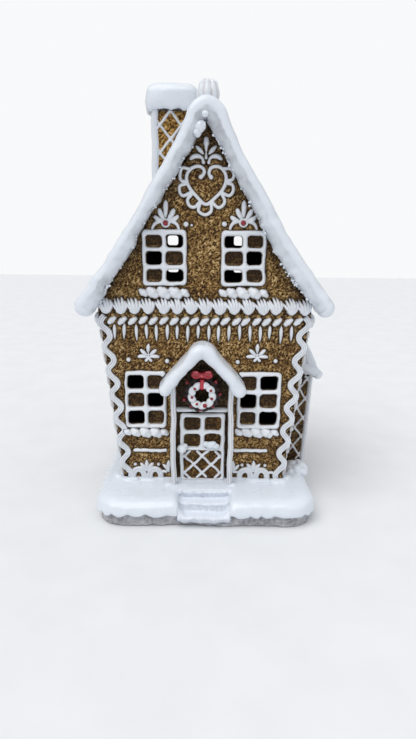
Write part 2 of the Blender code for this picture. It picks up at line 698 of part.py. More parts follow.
# rows of piping between the storeys
ROW_HALF = wall_half(128.5) - 4.0
pulse_row("shell_row_front", -ROW_HALF, ROW_HALF, 14, 128.2, 5.0, 6.0, "icing", front(GAP), sides=5, lean=0.35)
pulse_row("rope_row_front", -54.8, 54.8, 19, 120.4, 3.0, 3.6, "icing", front(GAP), sides=4, per=2, lean=0.9)
ROW_V = (128.4 - FLOOR) / math.cos(TAPER)
pulse_row("shell_row_back", -ROW_HALF, ROW_HALF, 12, 128.4, 5.0, 5.2, "icing", back(GAP), sides=4, per=2, lean=0.35)
for nm, sg in (("left", -1), ("right", 1)):
    lo, hi = (FRONT_IN + 2, BACK_IN - 2) if sg > 0 else (-BACK_IN + 2, -FRONT_IN - 2)
    pulse_row("shell_row_" + nm, lo, hi, 8, ROW_V - 9.6, 5.0, 4.2, "icing", side(sg, GAP), sides=4, per=2,
              lean=0.35)


# wavy corner bands
def corner_band(sign, lo, hi, per_wave=5, width=5.2, amp=2.6, pitch=15.0, peak=118.0):
    left, right = [], []
    steps = int((hi - lo) / pitch * per_wave)
    for k in range(steps + 1):
        z = lo + (hi - lo) * k / steps
        w = 2 * math.pi / pitch
        mid = wall_half(z) - 2.4 + amp * math.cos(w * (z - peak))
        lean = math.tan(TAPER) - amp * w * math.sin(w * (z - peak))
        n = math.hypot(1, lean)
        dx, dz = width / 2 / n, -lean * width / 2 / n
        if k in (0, steps):
            dx, dz = width / 2, 0.0
        left.append((sign * (mid - dx), z - dz))
        right.append((sign * (mid + dx), z + dz))
    return left + right[::-1]


for nm, sg in (("left", -1), ("right", 1)):
    band = plate("corner_band_front_" + nm, [corner_band(sg, 19.0, 122.0)], 2.6, "icing", front(), GAP)
    x0, z0, x1, z1 = sill_boxes[0 if sg < 0 else 1]
    cut(band, as_cutter(box_mesh("sill_cut_" + nm, (x0, FRONT_Y - 9, z0), (x1, FRONT_Y + 1, z1), None,
                                 collection=cutters)))
    wx0, wz0, wx1, wz1 = WINDOWS["lower_" + nm].outer
    cut(band, as_cutter(box_mesh("sash_cut_" + nm, (wx0 - GAP, FRONT_Y - 9, wz0), (wx1 + GAP, FRONT_Y + 1, wz1 + GAP),
                                 None, collection=cutters)))
    plate("corner_band_back_" + nm, [corner_band(sg, 19.0, 122.0, 3, amp=2.0)], 2.6, "icing", back(), GAP)

# lower trim: a bar under each window and a scroll fan standing on the snow
for nm, a, b, c in (("left", -42.6, -22.6, -35.0), ("right", 20.0, 42.0, 32.0)):
    plate("bar_" + nm, [soft_rect(a, 35.0, b, 37.6, 0.9)], 1.8, "icing", front(), GAP)
    fan = [(0.0, 9.5, 2.4), (0.85, 8.4, 2.4), (-0.85, 8.4, 2.4), (1.45, 7.4, 1.8), (-1.45, 7.4, 1.8)]
    plate("scroll_" + nm, [palmette(c, 21.4, fan, 2.0)], 1.6, "icing", front(), GAP)

# ---------------------------------------------------------------- door
DX = PORCH_X + 0.2
plate("door", [rect(DX - 13.2, FLOOR + GAP, DX + 13.2, 62.0)], 1.2, "dark_gingerbread", front(), GAP)
frame_w = 1.2 + 2 * GAP
door_loops = [rect(DX - 14.0, FLOOR + GAP, DX + 14.0, 61.8)]
for x0, x1 in ((DX - 11.4, DX - 1.4), (DX + 1.4, DX + 11.4)):
    for z0, z1 in ((51.0, 59.4), (39.6, 48.2)):
        door_loops.append(soft_rect(x0, z0, x1, z1, 1.4))
door_loops += lattice(DX - 11.4 - 1.6, 17.9, DX + 11.4 + 1.6, 37.9, 11.4, 11.4, 1.5, (7.3, 4.2))[1:]
plate("door_icing", door_loops, 1.6, "icing", front(), frame_w)
plate("door_header", [soft_rect(PORCH_X - 15.2, 62.3, PORCH_X + 15.0, 65.0, 0.8)], 2.4, "icing", front(), GAP)
ball("door_knob", (-13.4, 39.4, frame_w + 1.6 + GAP + 3.0), (3.3, 3.3, 3.0), "icing", front(), 2)
ball("door_snow", (4.6, 41.4, frame_w + 1.6 + GAP + 1.5), (5.2, 2.9, 1.5), "snow", front(), 1)

# ---------------------------------------------------------------- porch
for nm, sg in (("left", -1), ("right", 1)):
    x = PORCH_X + sg * POST_X
    tube("porch_post_" + nm, [(x, POST_Y, SNOW_TOP + GAP), (x, POST_Y, 50), (x, POST_Y, POST_TOP)], POST_R, "icing")


def porch_section(inset):
    """Rounded chevron, open below."""
    apex, run, slope = 101.4, 19.4, 1.16
    n = math.hypot(slope, 1)
    nx, nz = slope / n, 1 / n
    depth = 7.4
    pts = []
    for k in range(3):
        a = math.pi / 2 + (math.atan2(nz, nx) - math.pi / 2) * k / 3
        pts.append(((depth - inset + 0.8) * math.cos(a), apex + (depth - inset + 0.8) * math.sin(a)))
    for x in (0.6, 7, 13, run - 1.5):
        pts.append((x + nx * (depth - inset), apex - slope * x + nz * (depth - inset)))
    mx, mz = run - 0.8 + nx * depth / 2, apex - slope * (run - 0.8) + nz * depth / 2
    for k in range(5):
        a = math.atan2(nz, nx) - math.pi * k / 4
        pts.append((mx + (depth / 2 - inset) * math.cos(a), mz + (depth / 2 - inset) * math.sin(a)))
    for x in (run - 2, 13, 7):
        pts.append((x + nx * inset, apex - slope * x + nz * inset))
    pts.append((0.0, apex + inset * n))
    return pts


def porch_ring(y, inset):
    half = porch_section(inset)
    ring = [(PORCH_X + x, y, z) for x, z in half]
    return ring + [(PORCH_X - x, y, z) for x, z in reversed(half[1:-1])]


loft("porch_snow", [porch_ring(PORCH_FRONT, 2.2), porch_ring(PORCH_FRONT + 1.2, 0.8),
                    porch_ring(PORCH_FRONT + 3.2, 0), porch_ring(FRONT_Y - GAP, 0)], "snow", smooth=60)
porch_cut = as_cutter(loft("porch_cut", [porch_ring(PORCH_FRONT, -GAP), porch_ring(FRONT_Y + 1, -GAP)],
                           None, collection=cutters))
for ob in porch_trimmed:
    cut(ob, porch_cut)

# ---------------------------------------------------------------- wreath
WREATH = (-1.2, 75.6)


def ring_torus(name, major, minor, depth, w, slot, lobes=0, swell=0.0, n=16, m=5, squash=1.0):
    """Ring in the wall plane, its section scalloped round the ring."""
    mesh = bpy.data.meshes.new(name)
    bm = bmesh.new()
    rows = []
    for i in range(n):
        a = 2 * math.pi * i / n
        k = 1 + swell * math.cos(lobes * a)
        rows.append([bm.verts.new((WREATH[0] + (major + minor * k * math.cos(b)) * math.cos(a),
                                   WREATH[1] + squash * (major + minor * k * math.cos(b)) * math.sin(a),
                                   w + depth * math.sin(b)))
                     for b in [2 * math.pi * j / m for j in range(m)]])
    for i in range(n):
        for j in range(m):
            a, b = rows[i], rows[(i + 1) % n]
            bm.faces.new((a[j], b[j], b[(j + 1) % m], a[(j + 1) % m]))
    bmesh.ops.recalc_face_normals(bm, faces=bm.faces)
    bm.to_mesh(mesh)
    bm.free()
    return finish(name, mesh, slot, front(), smooth=60)


ring_torus("wreath_dark", 9.2, 2.4, 2.2, 2.4 + GAP + 2.4 + 0.2, "dark_gingerbread")
ring_torus("wreath_white", 6.3, 2.3, 1.7, 2.4 + GAP + 2.4 + 0.2 + 2.2 + 1.7 + GAP, "icing", 9, 0.12)
bow_w = 2.4 + GAP + 2.4 + 0.2 + 2.2 + GAP
bow = [(0, 1.2), (2.4, 2.8), (5.4, 3.1), (6.4, 0.8), (5.2, -2.2), (2.2, -2.0), (1.2, -3.4), (-1.4, -3.4),
       (-2.2, -2.0), (-5.2, -2.2), (-6.4, 0.8), (-5.4, 3.1), (-2.4, 2.8)]
plate("wreath_bow", [[(WREATH[0] + x, 88.4 + z) for x, z in bow]], 2.2, "red", front(), bow_w)

# ---------------------------------------------------------------- lean-to
annex_inner = lambda z: wall_half(z) + (WALL_T * 0) + 0.5


def annex_ring(z, grow=0.0):
    t = (z - FLOOR) / (ANNEX_TOP - FLOOR)
    out = ANNEX_FOOT + (ANNEX_HEAD - ANNEX_FOOT) * t
    lo = annex_inner(z)
    return [(lo, ANNEX_Y0, z), (out, ANNEX_Y0, z), (out, ANNEX_Y1, z), (lo, ANNEX_Y1, z)]


loft("annex_body", [annex_ring(FLOOR), annex_ring(ANNEX_TOP)], "gingerbread")
ann = Matrix(((1, 0, 0, 0), (0, 0, -1, ANNEX_Y0 - GAP), (0, 1, 0, 0), (0, 0, 0, 1)))
plate("annex_lattice", [[(x + (z - 22) * 0.05, z) for x, z in loop] for loop in
                        lattice(57.2, 22, 67.6, 77.5, 9.6, 14.0, 1.4, (5.2, 3.0), 1.0)],
      1.4, "icing", ann)


def annex_section(inset):
    """Snow slope from the wall down to a rounded eave."""
    top, low = (60.8, 103.0), (70.6, 82.6)
    dx, dz = low[0] - top[0], low[1] - top[1]
    n = math.hypot(dx, dz)
    ux, uz = dx / n, dz / n
    nx, nz = -uz, ux
    pts = [(top[0] + 1.4, top[1] - 1.4 + 6.5 - inset), (top[0] + 4.0, top[1] + 4.0 - inset)]
    for t in (0.35, 0.75):
        pts.append((top[0] + dx * t + nx * (5.4 - inset), top[1] + dz * t + nz * (5.4 - inset)))
    mx, mz = low[0] + nx * 1.9, low[1] + nz * 1.2
    for k in range(5):
        a = math.atan2(nz, nx) - math.pi * k / 4
        pts.append((mx + (3.6 - inset) * math.cos(a), mz + (3.6 - inset) * math.sin(a)))
    pts.append((wall_half(84.0) + 0.7 + inset * 0.3, 81.0 + inset))
    pts.append((wall_half(95.0) + 0.7 + inset * 0.3, 93.0))
    return pts


loft("annex_snow", [[(x, y, z) for x, z in annex_section(i)] for y, i in
                    ((ANNEX_Y0 - 3.4, 1.4), (ANNEX_Y0 - 2.4, 0.3), (ANNEX_Y0, 0), (ANNEX_Y1, 0),
                     (ANNEX_Y1 + 2.4, 0.3), (ANNEX_Y1 + 3.4, 1.4))], "snow", smooth=60)
annex_win = Window(((-10.4, -1.4), (1.4, 10.4)), ((57, 65), (46, 54.4), (35, 43.4)), (-12.6, 32.8, 12.6, 67.2), set())
lean = math.atan((ANNEX_HEAD - ANNEX_FOOT) / (ANNEX_TOP - FLOOR))
sl, cl = math.sin(lean), math.cos(lean)
mid_y = (ANNEX_Y0 + ANNEX_Y1) / 2
annex_side = Matrix(((0, sl, cl, ANNEX_FOOT + (GAP) * cl), (1, 0, 0, mid_y), (0, cl, -sl, FLOOR), (0, 0, 0, 1)))
plate("window_annex", [[(x, z - 14) for x, z in loop] for loop in [rect(*annex_win.outer)] + [rect(*b) for _, b in annex_win.panes()]], ICING, "icing", annex_side)
mound = [(61.5, -17.0), (11.0, 7.6)]
rings = []
for k, (h, r) in enumerate(((0.0, 1.0), (1.8, 0.96), (3.8, 0.72), (4.9, 0.4))):
    rings.append([(mound[0][0] + mound[1][0] * r * (0.66 * math.cos(a)), mound[0][1] + mound[1][1] * r * 0.7 * math.sin(a),
                   SNOW_TOP + GAP + h) for a in [2 * math.pi * i / 12 for i in range(12)]])
loft("snow_mound", rings, "snow", smooth=60)

# ---------------------------------------------------------------- other sides
for key, win in BACK_WINDOWS.items():
    loops = [rect(*win.outer)] + [rect(*b) for _, b in win.panes()]
    plate("window_" + key, [[(-x, z) for x, z in loop] for loop in loops], ICING, "icing", back(), GAP)
for key, win in SIDE_WINDOWS.items():
    plate("window_" + key, [rect(*win.outer)] + [rect(*b) for _, b in win.panes()], ICING, "icing", side(-1), GAP)
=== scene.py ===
"""Looks of the gingerbread house ornament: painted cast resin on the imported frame.

Shapes are worked out in millimetres and written to the meshes in metres.
Flat icing is a relief: a fine grid over a wall, trimmed to the edge of the
strokes of a piping bag, its height the dome of the nearest stroke.
"""
import math

import bmesh
import bpy
import numpy as np
from mathutils import Matrix, Vector
from mathutils.geometry import delaunay_2d_cdt


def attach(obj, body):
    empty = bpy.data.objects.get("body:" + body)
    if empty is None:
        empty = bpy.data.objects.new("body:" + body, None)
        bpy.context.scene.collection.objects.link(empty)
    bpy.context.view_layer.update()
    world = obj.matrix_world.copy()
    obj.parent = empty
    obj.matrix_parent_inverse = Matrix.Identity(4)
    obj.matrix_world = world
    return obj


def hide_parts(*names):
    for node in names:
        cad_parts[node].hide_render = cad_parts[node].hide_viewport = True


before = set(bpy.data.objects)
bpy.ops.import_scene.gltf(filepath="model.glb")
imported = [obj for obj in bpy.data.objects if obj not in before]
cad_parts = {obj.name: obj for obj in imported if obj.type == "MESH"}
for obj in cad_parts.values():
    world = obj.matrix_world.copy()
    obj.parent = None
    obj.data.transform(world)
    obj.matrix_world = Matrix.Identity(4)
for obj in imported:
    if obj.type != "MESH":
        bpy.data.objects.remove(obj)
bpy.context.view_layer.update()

MM = 0.001
PI = math.pi

# ------------------------------------------------------------ sizes, as in the CAD part
GAP = 0.3
BASE_LEFT, BASE_RIGHT = -67.0, 70.0
BASE_FRONT, BASE_BACK = -67.0, 67.16
BASE_CORNER = 18.0
ROCK_TOP, SNOW_TOP, SKIRT_IN = 9.0, 17.0, 2.4
FLOOR = SNOW_TOP + GAP
WALL_T = 4.0
FRONT_Y, BACK_Y = -34.0, 51.0
WALL_FOOT, WALL_HEAD, HEAD_Z, EAVE_Z = 50.8, 63.3, 123.0, 126.0
TAPER = math.atan((WALL_HEAD - WALL_FOOT) / (HEAD_Z - FLOOR))
ROOF_APEX, ROOF_SLOPE, ROOF_BREAK, ROOF_END = 230.3, 1.75, 30.0, 65.3
EAVE_SLOPE = 1.15
ROOF_FRONT, ROOF_BACK, LIP = -46.5, 61.5, 6.5
SNOW_THIN, SNOW_THICK = 9.7, 12.0
PANEL_IN, PANEL_OUT = 0.5, 3.5
CHIM_X0, CHIM_X1, CHIM_Y0, CHIM_Y1 = -33.5, -9.5, 9.0, 33.0
CHIM_TOP, CAP_TOP, CAP_OVER = 244.2, 259.5, 3.6
PORCH_X, PORCH_FRONT = -1.0, -52.0
POST_X, POST_Y, POST_R, POST_TOP = 17.6, -42.0, 2.1, 79.0
STEP_X, STEP_HALF = 0.75, 15.6
TREADS = ((-50.0, 12.2), (-58.6, 7.4))
STEP_FRONT, STEP_FLOOR = -67.0, 3.4
ANNEX_Y0, ANNEX_Y1, ANNEX_FOOT, ANNEX_HEAD, ANNEX_TOP = -8.0, 34.0, 67.6, 70.6, 79.0
EASE = (ROOF_SLOPE - EAVE_SLOPE) / (72.0 - ROOF_BREAK)


def wall_half(z):
    return WALL_FOOT + (z - FLOOR) * math.tan(TAPER)


def roof_z(x):
    x = np.abs(x)
    t = np.maximum(x - ROOF_BREAK, 0.0)
    return ROOF_APEX - ROOF_SLOPE * x + 0.5 * EASE * t * t


def roof_normal(x):
    s = ROOF_SLOPE - np.maximum(np.abs(x) - ROOF_BREAK, 0.0) * EASE
    n = np.hypot(s, 1.0)
    return s / n, 1.0 / n


def snow_depth(x):
    t = np.minimum(1.0, np.abs(x) / 54.0)
    return SNOW_THIN + (SNOW_THICK - SNOW_THIN) * t * t


# ------------------------------------------------------------ noise
def _hash(i, j, k, seed):
    n = (i.astype(np.int64) * 73856093) ^ (j.astype(np.int64) * 19349663) ^ (k.astype(np.int64) * 83492791)
    n = (n ^ (seed * 40503 + 12345)) & 0xFFFFFFFF
    n = ((n ^ (n >> 15)) * 2246822519) & 0xFFFFFFFF
    n = ((n ^ (n >> 13)) * 3266489917) & 0xFFFFFFFF
    return ((n ^ (n >> 16)) & 0xFFFF) / 65535.0


def fade(t):
    return t * t * t * (t * (t * 6 - 15) + 10)


def noise(x, y, z=0.0, seed=0):
    """Smooth noise from -1 to 1."""
    x, y, z = np.broadcast_arrays(np.asarray(x, float), np.asarray(y, float), np.asarray(z, float))
    i, j, k = np.floor(x), np.floor(y), np.floor(z)
    u, v, w = fade(x - i), fade(y - j), fade(z - k)
    out = 0.0
    for a in (0, 1):
        for b in (0, 1):
            for c in (0, 1):
                weight = (u if a else 1 - u) * (v if b else 1 - v) * (w if c else 1 - w)
                out = out + weight * _hash(i + a, j + b, k + c, seed)
    return 2 * out - 1


def ridged(x, y, seed=0):
    """Gradient noise, whose creases make the worm-like wrinkles of baked dough."""
    i, j = np.floor(x), np.floor(y)
    fx, fy = x - i, y - j
    u, v = fade(fx), fade(fy)
    out = 0.0
    for a in (0, 1):
        for b in (0, 1):
            ang = _hash(i + a, j + b, i * 0, seed) * 2 * PI
            g = np.cos(ang) * (fx - a) + np.sin(ang) * (fy - b)
            out = out + (u if a else 1 - u) * (v if b else 1 - v) * g
    return out * 1.5


def wrinkle(u, v, seed=0):
    """Height of the dough, 0 in the creases to 1 on the ridges."""
    wx, wy = noise(u / 2.2, v / 2.2, 0, seed + 1), noise(u / 2.2 + 40, v / 2.2, 0, seed + 2)
    a = ridged((0.8 * u + 0.6 * v) / 1.75 + 0.4 * wx, (0.8 * v - 0.6 * u) / 1.25 + 0.4 * wy, seed + 3)
    b = ridged((0.6 * u - 0.8 * v) / 1.6 + 0.4 * wy + 17, (0.6 * v + 0.8 * u) / 1.2 + 0.4 * wx, seed + 4)
    r1 = np.clip(1 - np.abs(a) * 2.6, 0, 1)
    r2 = np.clip(1 - np.abs(b) * 3.0, 0, 1)
    worm = np.maximum(r1, 0.9 * r2)
    gap = 0.5 + 0.5 * noise(u / 0.95, v / 0.95, 3, seed + 5)
    return np.clip(0.95 * worm * (0.62 + 0.55 * gap) + 0.10 * gap, 0, 1)


# ------------------------------------------------------------ placement
def front(w=0.0):
    return np.array(((1, 0, 0, 0), (0, 0, -1, FRONT_Y - w), (0, 1, 0, 0), (0, 0, 0, 1)), float)


def back(w=0.0):
    return np.array(((-1, 0, 0, 0), (0, 0, 1, BACK_Y + w), (0, 1, 0, 0), (0, 0, 0, 1)), float)


def side(sign, w=0.0):
    s, c = math.sin(TAPER), math.cos(TAPER)
    n, up, u = np.array((sign * c, 0, -s)), np.array((sign * s, 0, c)), np.array((0, sign, 0))
    o = np.array((sign * WALL_FOOT, 0, FLOOR)) + n * w
    m = np.eye(4)
    m[:3, 0], m[:3, 1], m[:3, 2], m[:3, 3] = u, up, n, o
    return m


def plan():
    """u, v, w of a field seen from above."""
    return np.eye(4)


# ------------------------------------------------------------ mesh store
class Store:
    """Gathers vertices, faces and per-vertex values, then makes one piece."""

    def __init__(self):
        self.v, self.quads, self.tris, self.n = [], [], [], 0
        self.att = {}

    def add(self, verts, quads=None, tris=None, place=None, **att):
        verts = np.asarray(verts, float)
        if place is not None:
            verts = verts @ place[:3, :3].T + place[:3, 3]
        for store, faces in ((self.quads, quads), (self.tris, tris)):
            if faces is not None and len(faces):
                store.append(np.asarray(faces, np.int64) + self.n)
        for key in set(self.att) | set(att):
            rows = self.att.setdefault(key, [np.zeros(self.n)] if self.n else [])
            rows.append(np.broadcast_to(np.asarray(att.get(key, 0.0), float), (len(verts),)))
        self.v.append(verts)
        self.n += len(verts)
        return self

    def piece(self, name, material, nodes=(), angle=None):
        verts = np.vstack(self.v) * MM
        quads = np.vstack(self.quads) if self.quads else np.zeros((0, 4), np.int64)
        tris = np.vstack(self.tris) if self.tris else np.zeros((0, 3), np.int64)
        mesh = bpy.data.meshes.new(name)
        mesh.vertices.add(len(verts))
        mesh.vertices.foreach_set("co", verts.astype(np.float32).ravel())
        loops = np.concatenate([quads.ravel(), tris.ravel()]).astype(np.int32)
        sizes = np.concatenate([np.full(len(quads), 4), np.full(len(tris), 3)]).astype(np.int32)
        mesh.loops.add(len(loops))
        mesh.loops.foreach_set("vertex_index", loops)
        mesh.polygons.add(len(sizes))
        mesh.polygons.foreach_set("loop_start", np.concatenate([[0], np.cumsum(sizes)[:-1]]).astype(np.int32))
        for key, rows in self.att.items():
            made = mesh.attributes.new(key, "FLOAT", "POINT")
            made.data.foreach_set("value", np.concatenate(rows).astype(np.float32))
        mesh.update(calc_edges=True)
        mesh.validate()
        mesh.shade_smooth()
        if angle:
            mesh.set_sharp_from_angle(angle=math.radians(angle))
        mesh.materials.append(material)
        ob = bpy.data.objects.new(name, mesh)
        bpy.context.scene.collection.objects.link(ob)
        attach(ob, "root")
        if nodes:
            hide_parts(*nodes)
        return ob


# ------------------------------------------------------------ relief over a wall
def relief(store, dist, height, lo, hi, pitch, place, rings, extra=None, close=True, carry=False):
    """dist(u, v) is positive inside the outline.  height(u, v) gives w there.
    rings are (outward, w) steps of the wall that goes down from the outline,
    or functions of (u, v) that give them."""
    nu = int(math.ceil((hi[0] - lo[0]) / pitch)) + 1
    nv = int(math.ceil((hi[1] - lo[1]) / pitch)) + 1
    U, V = np.meshgrid(lo[0] + pitch * np.arange(nu), lo[1] + pitch * np.arange(nv))
    U, V = U.ravel(), V.ravel()
    D = dist(U, V)
    band = np.abs(D) < 0.72 * pitch
    e = 0.04

    def slope(u, v):
        return (dist(u + e, v) - dist(u - e, v)) / (2 * e), (dist(u, v + e) - dist(u, v - e)) / (2 * e)

    u, v = U[band], V[band]
    u0, v0 = u.copy(), v.copy()
    for _ in range(3):
        d = dist(u, v)
        gu, gv = slope(u, v)
        g = np.maximum(gu * gu + gv * gv, 0.25)
        u, v = u - d * gu / g, v - d * gv / g
        far = np.hypot(u - u0, v - v0)
        k = np.minimum(1.0, 0.8 * pitch / np.maximum(far, 1e-9))
        u, v = u0 + (u - u0) * k, v0 + (v - v0) * k
    U[band], V[band] = u, v
    keep = (D > 0) | band
    idx = np.arange(nu * nv).reshape(nv, nu)
    quads = np.stack([idx[:-1, :-1], idx[:-1, 1:], idx[1:, 1:], idx[1:, :-1]], -1).reshape(-1, 4)
    quads = quads[keep[quads].all(1)]
    edge_only = band[quads].all(1)
    if edge_only.any():
        mid_d = dist(U[quads[edge_only]].mean(1), V[quads[edge_only]].mean(1))
        ok = np.ones(len(quads), bool)
        ok[np.where(edge_only)[0][mid_d < 0.02 * pitch]] = False
        quads = quads[ok]
    if not len(quads):
        return
    used = np.unique(quads)
    remap = -np.ones(nu * nv, np.int64)
    remap[used] = np.arange(len(used))
    quads = remap[quads]
    u, v = U[used], V[used]
    w = height(u, v)
    top = np.stack([u, v, w], 1)
    att = extra(u, v) if extra else {}
    n = len(used)
    # boundary edges, in the direction of their own face
    e1 = np.concatenate([quads[:, [0, 1]], quads[:, [1, 2]], quads[:, [2, 3]], quads[:, [3, 0]]])
    key = e1.min(1) * n + e1.max(1)
    order = np.argsort(key, kind="stable")
    ks = key[order]
    single = np.ones(len(ks), bool)
    single[1:] &= ks[1:] != ks[:-1]
    single[:-1] &= ks[:-1] != ks[1:]
    edges = e1[order[single]]
    rim = np.unique(edges)
    place_of = -np.ones(n, np.int64)
    place_of[rim] = np.arange(len(rim))
    gu, gv = slope(u[rim], v[rim])
    g = np.maximum(np.hypot(gu, gv), 0.3)
    ou, ov = -gu / g, -gv / g
    verts, faces = [top], [quads]
    last = rim
    count = n
    last_uv = None
    for ring in rings:
        out, wr = ring(u[rim], v[rim]) if callable(ring) else ring
        pts = np.stack([u[rim] + ou * out, v[rim] + ov * out, np.broadcast_to(wr, (len(rim),)).astype(float)], 1)
        new = count + np.arange(len(rim))
        a, b = edges[:, 0], edges[:, 1]
        pa, pb = place_of[a], place_of[b]
        faces.append(np.stack([last[pb], last[pa], new[pa], new[pb]], 1))
        verts.append(pts)
        last, last_uv = new, (pts, out)
        count += len(rim)
    tris = None
    if close and last_uv is not None:
        pts, out = last_uv
        loc = [Vector((float(p[0]), float(p[1]))) for p in pts]
        links = [(int(place_of[a]), int(place_of[b])) for a, b in edges]
        vs, _, fs, origin, _, _ = delaunay_2d_cdt(loc, links, [], 0, 1e-5)
        near = [(o[0] if o else -1) for o in origin]
        fs = np.array([f for f in fs if len(f) == 3], np.int64)
        uv = np.array([(p[0], p[1]) for p in vs])
        mid = uv[fs].mean(1)
        d = dist(mid[:, 0], mid[:, 1])
        inside = d > -float(np.max(out)) * 0.9 - 1e-3
        fs = fs[inside]
        near = np.array(near)
        good = (near[fs] >= 0).all(1)
        fs = near[fs[good]]
        tris = (fs + last[0])[:, ::-1]
    total = np.vstack(verts)
    full = {}
    for k, val in att.items():
        val = np.broadcast_to(val, (n,))
        # sides and back of a relief: the darkening value is 1 there, painted shade on cut edges and inner faces; other
        # values 0 unless carried
        tail = np.tile(val[rim], len(rings)) if carry else np.full(len(total) - n, 1.0 if k == "wash" else 0.0)
        full[k] = np.concatenate([val, tail])
    store.add(total, np.vstack(faces), tris, place, **full)


# ------------------------------------------------------------ strokes of icing
def bezier(p0, p1, p2, n=9):
    t = np.linspace(0, 1, n)[:, None]
    p0, p1, p2 = map(np.asarray, (p0, p1, p2))
    return (1 - t) ** 2 * p0 + 2 * t * (1 - t) * p1 + t * t * p2


def smooth_path(points, per=6):
    """Catmull-Rom curve through the points."""
    p = np.asarray(points, float)
    p = np.vstack([2 * p[0] - p[1], p, 2 * p[-1] - p[-2]])
    out = []
    for a, b, c, d in zip(p, p[1:], p[2:], p[3:]):
        for t in np.arange(per) / per:
            out.append(0.5 * (2 * b + (c - a) * t + (2 * a - 5 * b + 4 * c - d) * t * t + (3 * b - a - 3 * c + d) * t ** 3))
    out.append(p[-2])
    return np.array(out)


class Piping:
    """Strokes whose outlines and domes are blended."""

    def __init__(self, blend=0.18, aspect=1.15, wobble=0.12, seed=0):
        self.strokes, self.blend, self.aspect, self.wobble, self.seed = [], blend, aspect, wobble, seed

    def stroke(self, pts, radii, amp=1.0):
        pts = np.asarray(pts, float)
        radii = np.broadcast_to(np.asarray(radii, float), (len(pts),)).copy()
        self.strokes.append((pts, radii, amp))
        return self

    def leaf(self, a, c, b, r, amp=1.0, blunt=0.0, start=0.3):
        """A petal from a to b, bent towards c, thin at the start."""
        t = np.linspace(0, 1, 10)
        rad = r * np.maximum(start, np.sin(PI * (0.10 + (0.80 - 0.26 * blunt) * t)) ** 0.8)
        rad[-1] = r * (0.30 + 0.45 * blunt)
        return self.stroke(bezier(a, c, b, 10), rad, amp)

    def dot(self, u, v, r, amp=1.0):
        return self.stroke([(u, v), (u + 0.01, v)], r, amp)

    def box(self):
        lo = np.min([p.min(0) - r.max() for p, r, _ in self.strokes], 0) - 1.0
        hi = np.max([p.max(0) + r.max() for p, r, _ in self.strokes], 0) + 1.0
        return lo, hi

    def both(self, u, v):
        if self.wobble:
            du = self.wobble * noise(u / 4.1, v / 4.1, 1, self.seed + 7)
            dv = self.wobble * noise(u / 4.1, v / 4.1, 5, self.seed + 9)
            u, v = u + du, v + dv
        best = np.full(u.shape, -60.0)
        weight, rsum = np.zeros(u.shape), np.zeros(u.shape)
        reach = 4.0
        for pts, radii, amp in self.strokes:
            m = reach + radii.max()
            lo, hi = pts.min(0) - m, pts.max(0) + m
            sel = np.where((u > lo[0]) & (u < hi[0]) & (v > lo[1]) & (v < hi[1]))[0]
            if not len(sel):
                continue
            x, y = u[sel], v[sel]
            d, r = np.full(len(sel), -60.0), np.full(len(sel), radii[0])
            for (ax, ay), (bx, by), ra, rb in zip(pts, pts[1:], radii, radii[1:]):
                lx, ly = bx - ax, by - ay
                t = np.clip(((x - ax) * lx + (y - ay) * ly) / max(lx * lx + ly * ly, 1e-9), 0, 1)
                rr = ra + (rb - ra) * t
                dd = rr - np.hypot(x - ax - t * lx, y - ay - t * ly)
                up = dd > d
                d, r = np.where(up, dd, d), np.where(up, rr, r)
            k = np.exp(np.clip(d / self.blend, -40, 40))
            weight[sel] += k
            rsum[sel] += k * r * amp
        has = weight > 0
        best[has] = self.blend * np.log(weight[has])
        return np.maximum(best, -60.0), np.where(has, rsum / np.maximum(weight, 1e-30), 1.0)

    def dist(self, u, v):
        return self.both(u, v)[0]

    def dome(self, u, v):
        d, r = self.both(u, v)
        t = np.clip(d / r, 0, 1)
        return self.aspect * r * np.sqrt(np.maximum(1 - (1 - t) ** 2, 0))

    def shine(self, u, v):
        d, r = self.both(u, v)
        return {"cav": np.clip(d / r, 0, 1)}


def pipe(store, piping, pitch, place, lift=0.0, base=-0.6, clip=None, body=None):
    """Adds the relief of a set of strokes."""
    lo, hi = piping.box()
    dist = piping.dist if clip is None else (lambda u, v: np.minimum(piping.dist(u, v), clip(u, v)))

    def height(u, v):
        h = lift + piping.dome(u, v)
        if body is not None:
            h = h + body(u, v)
        return h + 0.05 * noise(u / 1.1, v / 1.1, 2, piping.seed)

    relief(store, dist, height, lo, hi, pitch, place, [(0.0, min(lift, 0.0) - 0.05), (0.05, base)], piping.shine)


def rect_d(u, v, x0, z0, x1, z1, r):
    cx, cz, hx, hz = (x0 + x1) / 2, (z0 + z1) / 2, (x1 - x0) / 2 - r, (z1 - z0) / 2 - r
    qx, qz = np.abs(u - cx) - hx, np.abs(v - cz) - hz
    return r - (np.hypot(np.maximum(qx, 0), np.maximum(qz, 0)) + np.minimum(np.maximum(qx, qz), 0))


